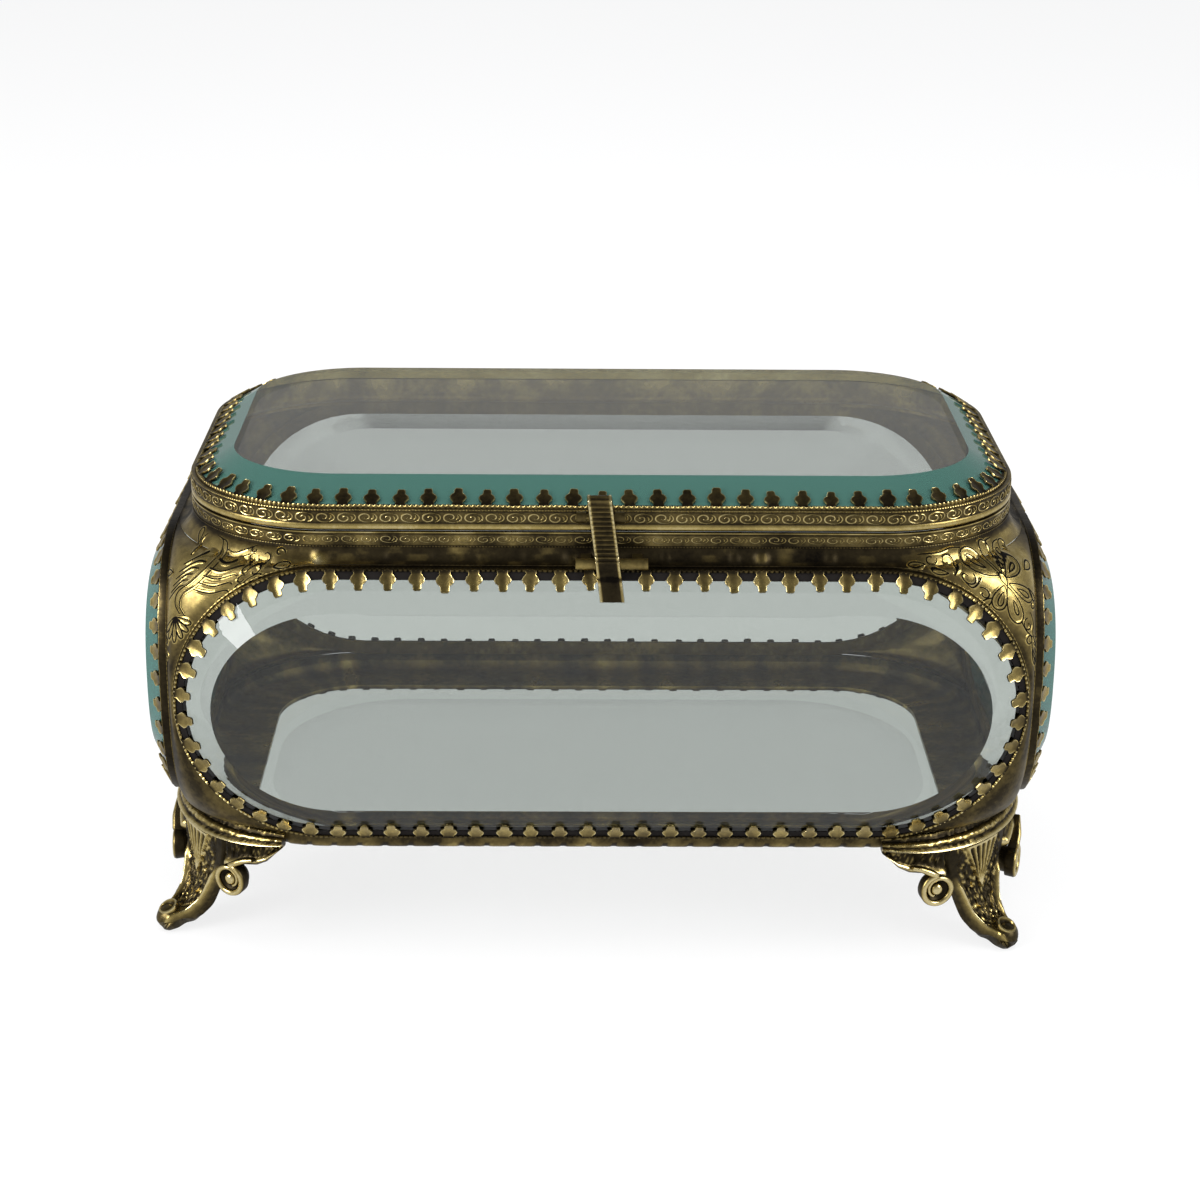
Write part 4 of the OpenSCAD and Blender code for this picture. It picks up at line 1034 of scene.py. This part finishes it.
def crown_sections(wing, hammer):
    """The crown and its wings as upright loops round the corner. Each loop goes over a thin
    ridge, a round roll, a bright line, a hammered web and a lip; its lines rise, and the loop
    gets lower, as the square of the angle from the leg."""
    angle = np.linspace(-wing, wing, 151)[:, None]
    out = np.abs(angle / wing)
    line = 20.1 + 1.4 * out**2
    low = np.interp(np.abs(angle), [0, 14, 17, 20, 26, 31, 35, 38, 41],
                    [16, 15, 14.2, 14.4, 16.2, 16.7, 17.8, 19.4, 20.9])
    low = np.minimum(low, line - 0.5)
    distance, roll, down, relief = np.array([  # roll: height over the line; down: share of the web
        (28.3, 3.2, 0, 0.2), (28.9, 3.5, 0, 0.75), (29.4, 3.3, 0, 0.5), (29.6, 2.7, 0, 0.0),
        (29.9, 2.3, 0, 0.1), (30.6, 2.3, 0, 0.6), (31.1, 1.9, 0, 0.75), (31.2, 1.5, 0, 0.4),
        (31.0, 1.05, 0, 0.0), (31.1, 0.8, 0, 0.2), (31.7, 0.55, 0, 0.9), (31.9, 0.2, 0, 1.0),
        (31.6, -0.1, 0, 0.7), (30.9, -0.3, 0, 0.05), (30.7, 0, 0.15, 0.05), (30.6, 0, 0.3, 0.05),
        (30.6, 0, 0.45, 0.05), (30.7, 0, 0.58, 0.1), (31.1, 0, 0.66, 0.6), (31.5, 0, 0.72, 1.0),
        (31.6, 0, 0.8, 0.85), (31.3, 0, 0.9, 0.25), (30.6, 0, 1.0, 0.15), (29.2, 0, 1.0, 0.1),
        (28.6, 0, 0.9, 0.1), (28.3, 0, 0.2, 0.1)]).T
    z = np.where(down > 0, line - 0.35 + (low - line + 0.35) * down, line + roll * (1 - 0.5 * out**2))
    rng = np.random.default_rng(6)
    web = (relief < 0.08) & (down > 0)
    knock = rng.normal(0, 1.2 * hammer, z.shape) * web
    # Bright flecks in the hammered web are painted glints of its facets
    web_painted_glint = 0.5 * (rng.random(z.shape) > 0.82) * web
    # Behind the leg the web is drawn in, so that it doesn't show through the leg's front
    behind = ramp(np.abs(angle), 18.0, 14.0) * (down > 0.12)
    pinch = (distance - 29.0) * (1 - 0.35 * out**3) * (1 - behind) + 29.0
    rough = np.repeat(rng.normal(0, 1, (76, len(distance))), 2, 0)[:151] * (down == 0) * (distance < 31.7)
    return polar(angle, pinch + knock + 0.05 * rough, z), np.clip(relief + web_painted_glint + 0.14 * rough, 0, 1)


def scroll_strap(hand):
    """The strap of a scroll, as (depth, sideways, up): it comes down from the crown, rolls round
    the drum and ends inside as a spiral; its section is round with a deep flat back."""
    start = [(4.9, 4.7), (3.2, 4.3), (1.4, 3.5)] if hand > 0 else [(4.9, 7.0), (3.4, 6.2), (1.8, 4.6)]
    curl = np.concatenate([start, spiral((0, 0), 2.75, 2.75, 88, -180, 40),
                           spiral((0, 0), 2.7, 1.35, -188, -420, 30)])
    curl = even(curl, 70) * [hand, 1]
    turn, step = circle(8), np.arange(70)
    girth = np.interp(step, [0, 8, 50, 69], [0.35, 0.6, 0.55, 0.25])[:, None]
    edge = curl[:, None] + leftward(curl)[:, None] * (girth * np.cos(turn))[..., None]
    deep = np.interp(step, [0, 10, 69], [-0.9, -0.3, -0.3])[:, None]
    back = deep - np.interp(step, [0, 10, 50, 69], [1.0, 1.6, 1.6, 0.5])[:, None]
    depth = np.where(np.sin(turn) < -0.5, back, deep + girth * np.sin(turn))
    relief = 0.12 + 0.88 * np.clip(np.sin(turn), 0, 1) ** 0.7
    return np.stack([depth, edge[..., 0], edge[..., 1]], -1), relief


def foot_surfaces(settings):
    """All surfaces of one foot, in its own frame with the leg along x, as (points, relief). The
    scrolls stand at an angle from the leg, each turned a little further than it stands."""
    hammer = settings.hammer / MM
    parts = [leg_sections(hammer), crown_sections(math.degrees(settings.wing), hammer)]
    # A short drum with a hollow face and a boss fills each scroll
    drum, drum_relief = lathe(np.array([
        [1.9, -3.6, 0.1], [2.4, -3.0, 0.1], [2.6, -1.6, 0.15], [2.6, -0.6, 0.4], [2.2, -0.45, 0.1],
        [1.8, -0.9, 0.0], [1.35, -0.9, 0.0], [1.1, -0.3, 0.7], [0.75, 0.1, 1.0], [0.15, 0.2, 1.0]]), 28)
    for hand in (-1, 1):
        a, twist = hand * settings.scroll, hand * (settings.scroll + math.radians(5))
        spin = turned(twist)
        move = SCROLL_R * turned(a)[0] + SCROLL_OUT * spin[0] + [0, 0, SCROLL_Z[hand]]
        strap, strap_relief = scroll_strap(hand)
        parts += [(drum @ spin + move, drum_relief), (strap @ spin + move, strap_relief)]
    # Cup on the toe, tilted upwards
    cup, relief = lathe(np.array([
        [1.6, -1.6, 0.2], [1.95, -0.2, 0.5], [1.85, 0.35, 1.0], [1.5, 0.4, 0.8],
        [1.2, -0.2, 0.0], [0.6, -0.35, 0.0], [0.48, 0.05, 0.9], [0.06, 0.25, 1.0]]), 20)
    c, s = math.cos(CUP_TILT), math.sin(CUP_TILT)
    parts.append((cup @ np.array([[c, 0, s], [0, 1, 0], [-s, 0, c]]) + [CUP_X, 0, CUP_Z], relief))
    return parts


class CASKET_OT_add_feet(bpy.types.Operator):
    """Replaces the four cast feet with modelled ones: crown, wings, scrolls, fan and toe"""
    bl_idname = "casket.add_feet"
    bl_label = "Add feet"

    def execute(self, context):
        made = context.scene.casket_feet
        parts = foot_surfaces(made)
        for name, (sx, sy) in CORNERS.items():
            # Each foot is turned onto its corner and mirrored into its quarter
            spin = turned(math.radians(45) - (made.left_turn if name == "front_left" else 0.0))
            pile = Pile()
            for points, relief in parts:
                add_tubes(pile, ((points @ spin + [*CORE, 0]) * [sx, sy, 1])[None], relief)
            pile.build("foot_" + name + "_cast", "case", ["cast_brass"], "foot_" + name, sharp=50.0)
        return {"FINISHED"}


class CASKET_OT_add_base(bpy.types.Operator):
    """Replaces the floor ring with one whose turned-up edge has a notched lower lip"""
    bl_idname = "casket.add_base"
    bl_label = "Add base"

    def execute(self, context):
        profile = np.array([[27.75, 23.6, 0.2], [28.5, 23.6, 0.2], [28.5, 22.2, 0.3], [28.2, 21.3, 0.45],
                            [27.6, 20.8, 0.4], [26.6, 20.45, 0.15], [24.4, 20.3, 0.15], [16.0, 20.3, 0.15],
                            [16.0, 21.1, 0.5], [24.2, 21.1, 0.35], [26.4, 21.4, 0.3], [27.4, 22.2, 0.3]])
        count, notches = 960, 96
        notch = np.clip(np.sin(notches * circle(count)) * 3 - 1.6, 0, 1)[:, None]
        u = np.repeat(profile[None, :, 0], count, 0)
        u[:, 3:5] -= 0.35 * notch
        relief = profile[:, 2] + 0.1 * ripple(count, 8, 5, 90)[:, None]
        relief[:, 3:5] -= 0.5 * notch
        pile = Pile()
        add_loop(pile, ring_sweep(count, u, profile[:, 1], WALL_R), np.clip(relief, 0, 1))
        pile.build("base_frame_turned", "case", ["engraved_brass"], "base_frame")
        return {"FINISHED"}


class CASKET_OT_dress_fittings(bpy.types.Operator):
    """Gives the ledges, hinge, bracket, pins and catch an aged brass"""
    bl_idname = "casket.dress_fittings"
    bl_label = "Dress fittings"

    def execute(self, context):
        finishes = {
            # The ledges get lightened brass: painted light under the glass
            "ledge_painted_light_brass": ("front_ledge", "rear_ledge", "left_ledge", "right_ledge", "catch_legs"),
            "plain_brass": ("lid_hinge_leaf", "case_hinge_leaf", "hasp_bracket"),
            "pale_painted_light_brass": ("lid_ledge",),
            "tube_brass": ("hinge_pin", "hasp_pin", "catch_tube")}
        for name, nodes in finishes.items():
            for node in nodes:
                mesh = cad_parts[node].data
                mesh.materials.clear()
                mesh.materials.append(finish(name))
        return {"FINISHED"}


def light_paths(node, seen, reflected):
    """The first strength where a ray comes from the camera or through glass, the second where
    it comes from a reflection, and none elsewhere."""
    path = node("LightPath")
    total = None
    for name, strength in (("Camera", seen), ("Transmission", seen), ("Glossy", reflected)):
        ray = path.outputs["Is %s Ray" % name]
        part = node("Math", {0: ray, 1: strength}, operation="MULTIPLY").outputs[0]
        total = node("Math", {0: total, 1: part}, operation="MAXIMUM").outputs[0] if total else part
    return total


FLOOR_HALF = 2.5    # half the floor's width, in metres
LIGHTS = {          # place, the point it faces, width and share of the power
    "top_light": ((0.0, 0.05, 0.85), (0.0, 0.0, 0.0), 0.9, 1.0),
    "left_light": ((-0.75, -0.45, 0.5), (0.0, 0.0, 0.04), 0.5, 0.95),
    "right_light": ((0.8, -0.35, 0.55), (0.0, 0.0, 0.04), 0.5, 0.6)}


class CASKET_OT_set_stage(bpy.types.Operator):
    """Makes the floor, the white surroundings, the lights and the camera"""
    bl_idname = "casket.set_stage"
    bl_label = "Set stage"

    def execute(self, context):
        made = context.scene.casket_stage
        self.add_floor(context, made.glow)
        self.add_world(context)
        for name, (place, aim, size, share) in LIGHTS.items():
            self.add_light(context, name, place, aim, size, made.power * share)
        self.add_camera(context, made)
        context.scene.view_settings.view_transform = "Standard"
        return {"FINISHED"}

    def add_floor(self, context, glow):
        """A flat floor that mirrors nothing and gives white light of its own."""
        side = np.linspace(-FLOOR_HALF, FLOOR_HALF, 3)
        x, y = np.meshgrid(side, side, indexing="ij")
        mesh = bpy.data.meshes.new("floor")
        mesh.from_pydata(np.stack([x, y, 0 * x], -1).reshape(-1, 3).tolist(), [],
                         grid(3, 3, False, False).tolist())
        material, shader, node = new_material("pale_floor")
        feed(shader, {"Base Color": (0.93, 0.93, 0.93, 1), "Roughness": 0.9, "Specular IOR Level": 0.0})
        glowing = node("Emission", {"Color": (1, 1, 1, 1), "Strength": light_paths(node, 1.0, 0.55)})
        mix = node("MixShader", {"Fac": light_paths(node, glow, 1.0), 1: shader.outputs["BSDF"],
                                 2: glowing.outputs["Emission"]})
        feed(material.node_tree.nodes["Material Output"], {"Surface": mix.outputs["Shader"]})
        mesh.materials.append(material)
        floor = bpy.data.objects.new("floor", mesh)
        context.scene.collection.objects.link(floor)

    def add_world(self, context):
        """White to the camera and through glass, pale grey light on the box, and in reflections
        a room that goes in a straight line from light at eye level to dark overhead."""
        world = bpy.data.worlds.new("white_surroundings")
        world.use_nodes = True
        nodes, node = world.node_tree.nodes, maker(world.node_tree)
        feed(nodes["Background"], {"Color": (0.55, 0.56, 0.58, 1)})
        white = node("Background", {"Color": (1, 1, 1, 1)})
        seen = node("MixShader", {"Fac": light_paths(node, 1.0, 1.0), 2: white.outputs["Background"],
                                  1: nodes["Background"].outputs["Background"]})
        split = node("SeparateXYZ", {"Vector": node("TexCoord").outputs["Generated"]})
        shade = node("MapRange", {"Value": split.outputs["Z"], "From Min": 0.25, "From Max": 0.85,
                                  "To Min": 0.40, "To Max": 0.10})
        room = node("Background", {"Color": (1, 1, 1, 1), "Strength": shade.outputs["Result"]})
        mix = node("MixShader", {"Fac": node("LightPath").outputs["Is Glossy Ray"],
                                 1: seen.outputs["Shader"], 2: room.outputs["Background"]})
        feed(nodes["World Output"], {"Surface": mix.outputs["Shader"]})
        context.scene.world = world

    def add_light(self, context, name, place, aim, size, power):
        """A square light turned towards a point. The top one makes no highlights."""
        data = bpy.data.lights.new(name, "AREA")
        data.shape, data.size, data.energy = "SQUARE", size, power
        light = bpy.data.objects.new(name, data)
        light.location = place
        light.rotation_euler = (Vector(aim) - Vector(place)).to_track_quat("-Z", "Y").to_euler()
        light.visible_glossy = name != "top_light"
        context.scene.collection.objects.link(light)

    def add_camera(self, context, made):
        """A camera set back from its target along its own backward side."""
        data = bpy.data.cameras.new("camera")
        data.sensor_width, data.lens = 36.0, made.lens
        data.clip_start, data.clip_end = 0.01, 20.0
        camera = bpy.data.objects.new("camera", data)
        level = math.cos(made.elevation)
        away = Vector((math.sin(made.yaw) * level, -math.cos(made.yaw) * level, math.sin(made.elevation)))
        right = Vector((0, 0, 1)).cross(away).normalized()
        up = away.cross(right)
        c, s = math.cos(made.roll), math.sin(made.roll)
        turn = Matrix((c * right + s * up, c * up - s * right, away)).transposed().to_4x4()
        camera.matrix_world = Matrix.Translation(Vector(made.target) + away * made.distance) @ turn
        context.scene.collection.objects.link(camera)
        context.scene.camera = camera


class CASKET_PT_panel(bpy.types.Panel):
    """Buttons for each piece of the casket"""
    bl_label = "Casket"
    bl_space_type = "VIEW_3D"
    bl_region_type = "UI"
    bl_category = "Casket"

    def draw(self, context):
        for operator in OPERATORS:
            self.layout.operator(operator.bl_idname)
        for name in SETTINGS:
            group = getattr(context.scene, name)
            box = self.layout.box()
            for key in group.bl_rna.properties.keys():
                if key not in ("rna_type", "name"):
                    box.prop(group, key)


SETTINGS = {"casket_glass": CasketGlass, "casket_brass": CasketBrass, "casket_strip": CasketStrip,
            "casket_ornament": CasketOrnament, "casket_feet": CasketFeet, "casket_stage": CasketStage}
OPERATORS = (CASKET_OT_set_stage, CASKET_OT_add_glass, CASKET_OT_add_strips, CASKET_OT_add_lid_band,
             CASKET_OT_add_rim, CASKET_OT_add_corners, CASKET_OT_add_hasp, CASKET_OT_add_feet,
             CASKET_OT_add_base, CASKET_OT_dress_fittings)


def register():
    """Registers the settings, the operators and the panel."""
    for name, group in SETTINGS.items():
        bpy.utils.register_class(group)
        setattr(bpy.types.Scene, name, PointerProperty(type=group))
    for operator in OPERATORS:
        bpy.utils.register_class(operator)
    bpy.utils.register_class(CASKET_PT_panel)


def unregister():
    """Takes away what register added, in reverse."""
    bpy.utils.unregister_class(CASKET_PT_panel)
    for operator in reversed(OPERATORS):
        bpy.utils.unregister_class(operator)
    for name, group in reversed(SETTINGS.items()):
        delattr(bpy.types.Scene, name)
        bpy.utils.unregister_class(group)


def main():
    """Builds every piece in order."""
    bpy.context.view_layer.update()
    register()
    for operator in OPERATORS:
        group, name = operator.bl_idname.split(".")
        getattr(getattr(bpy.ops, group), name)()


if __name__ == "__main__":
    main()
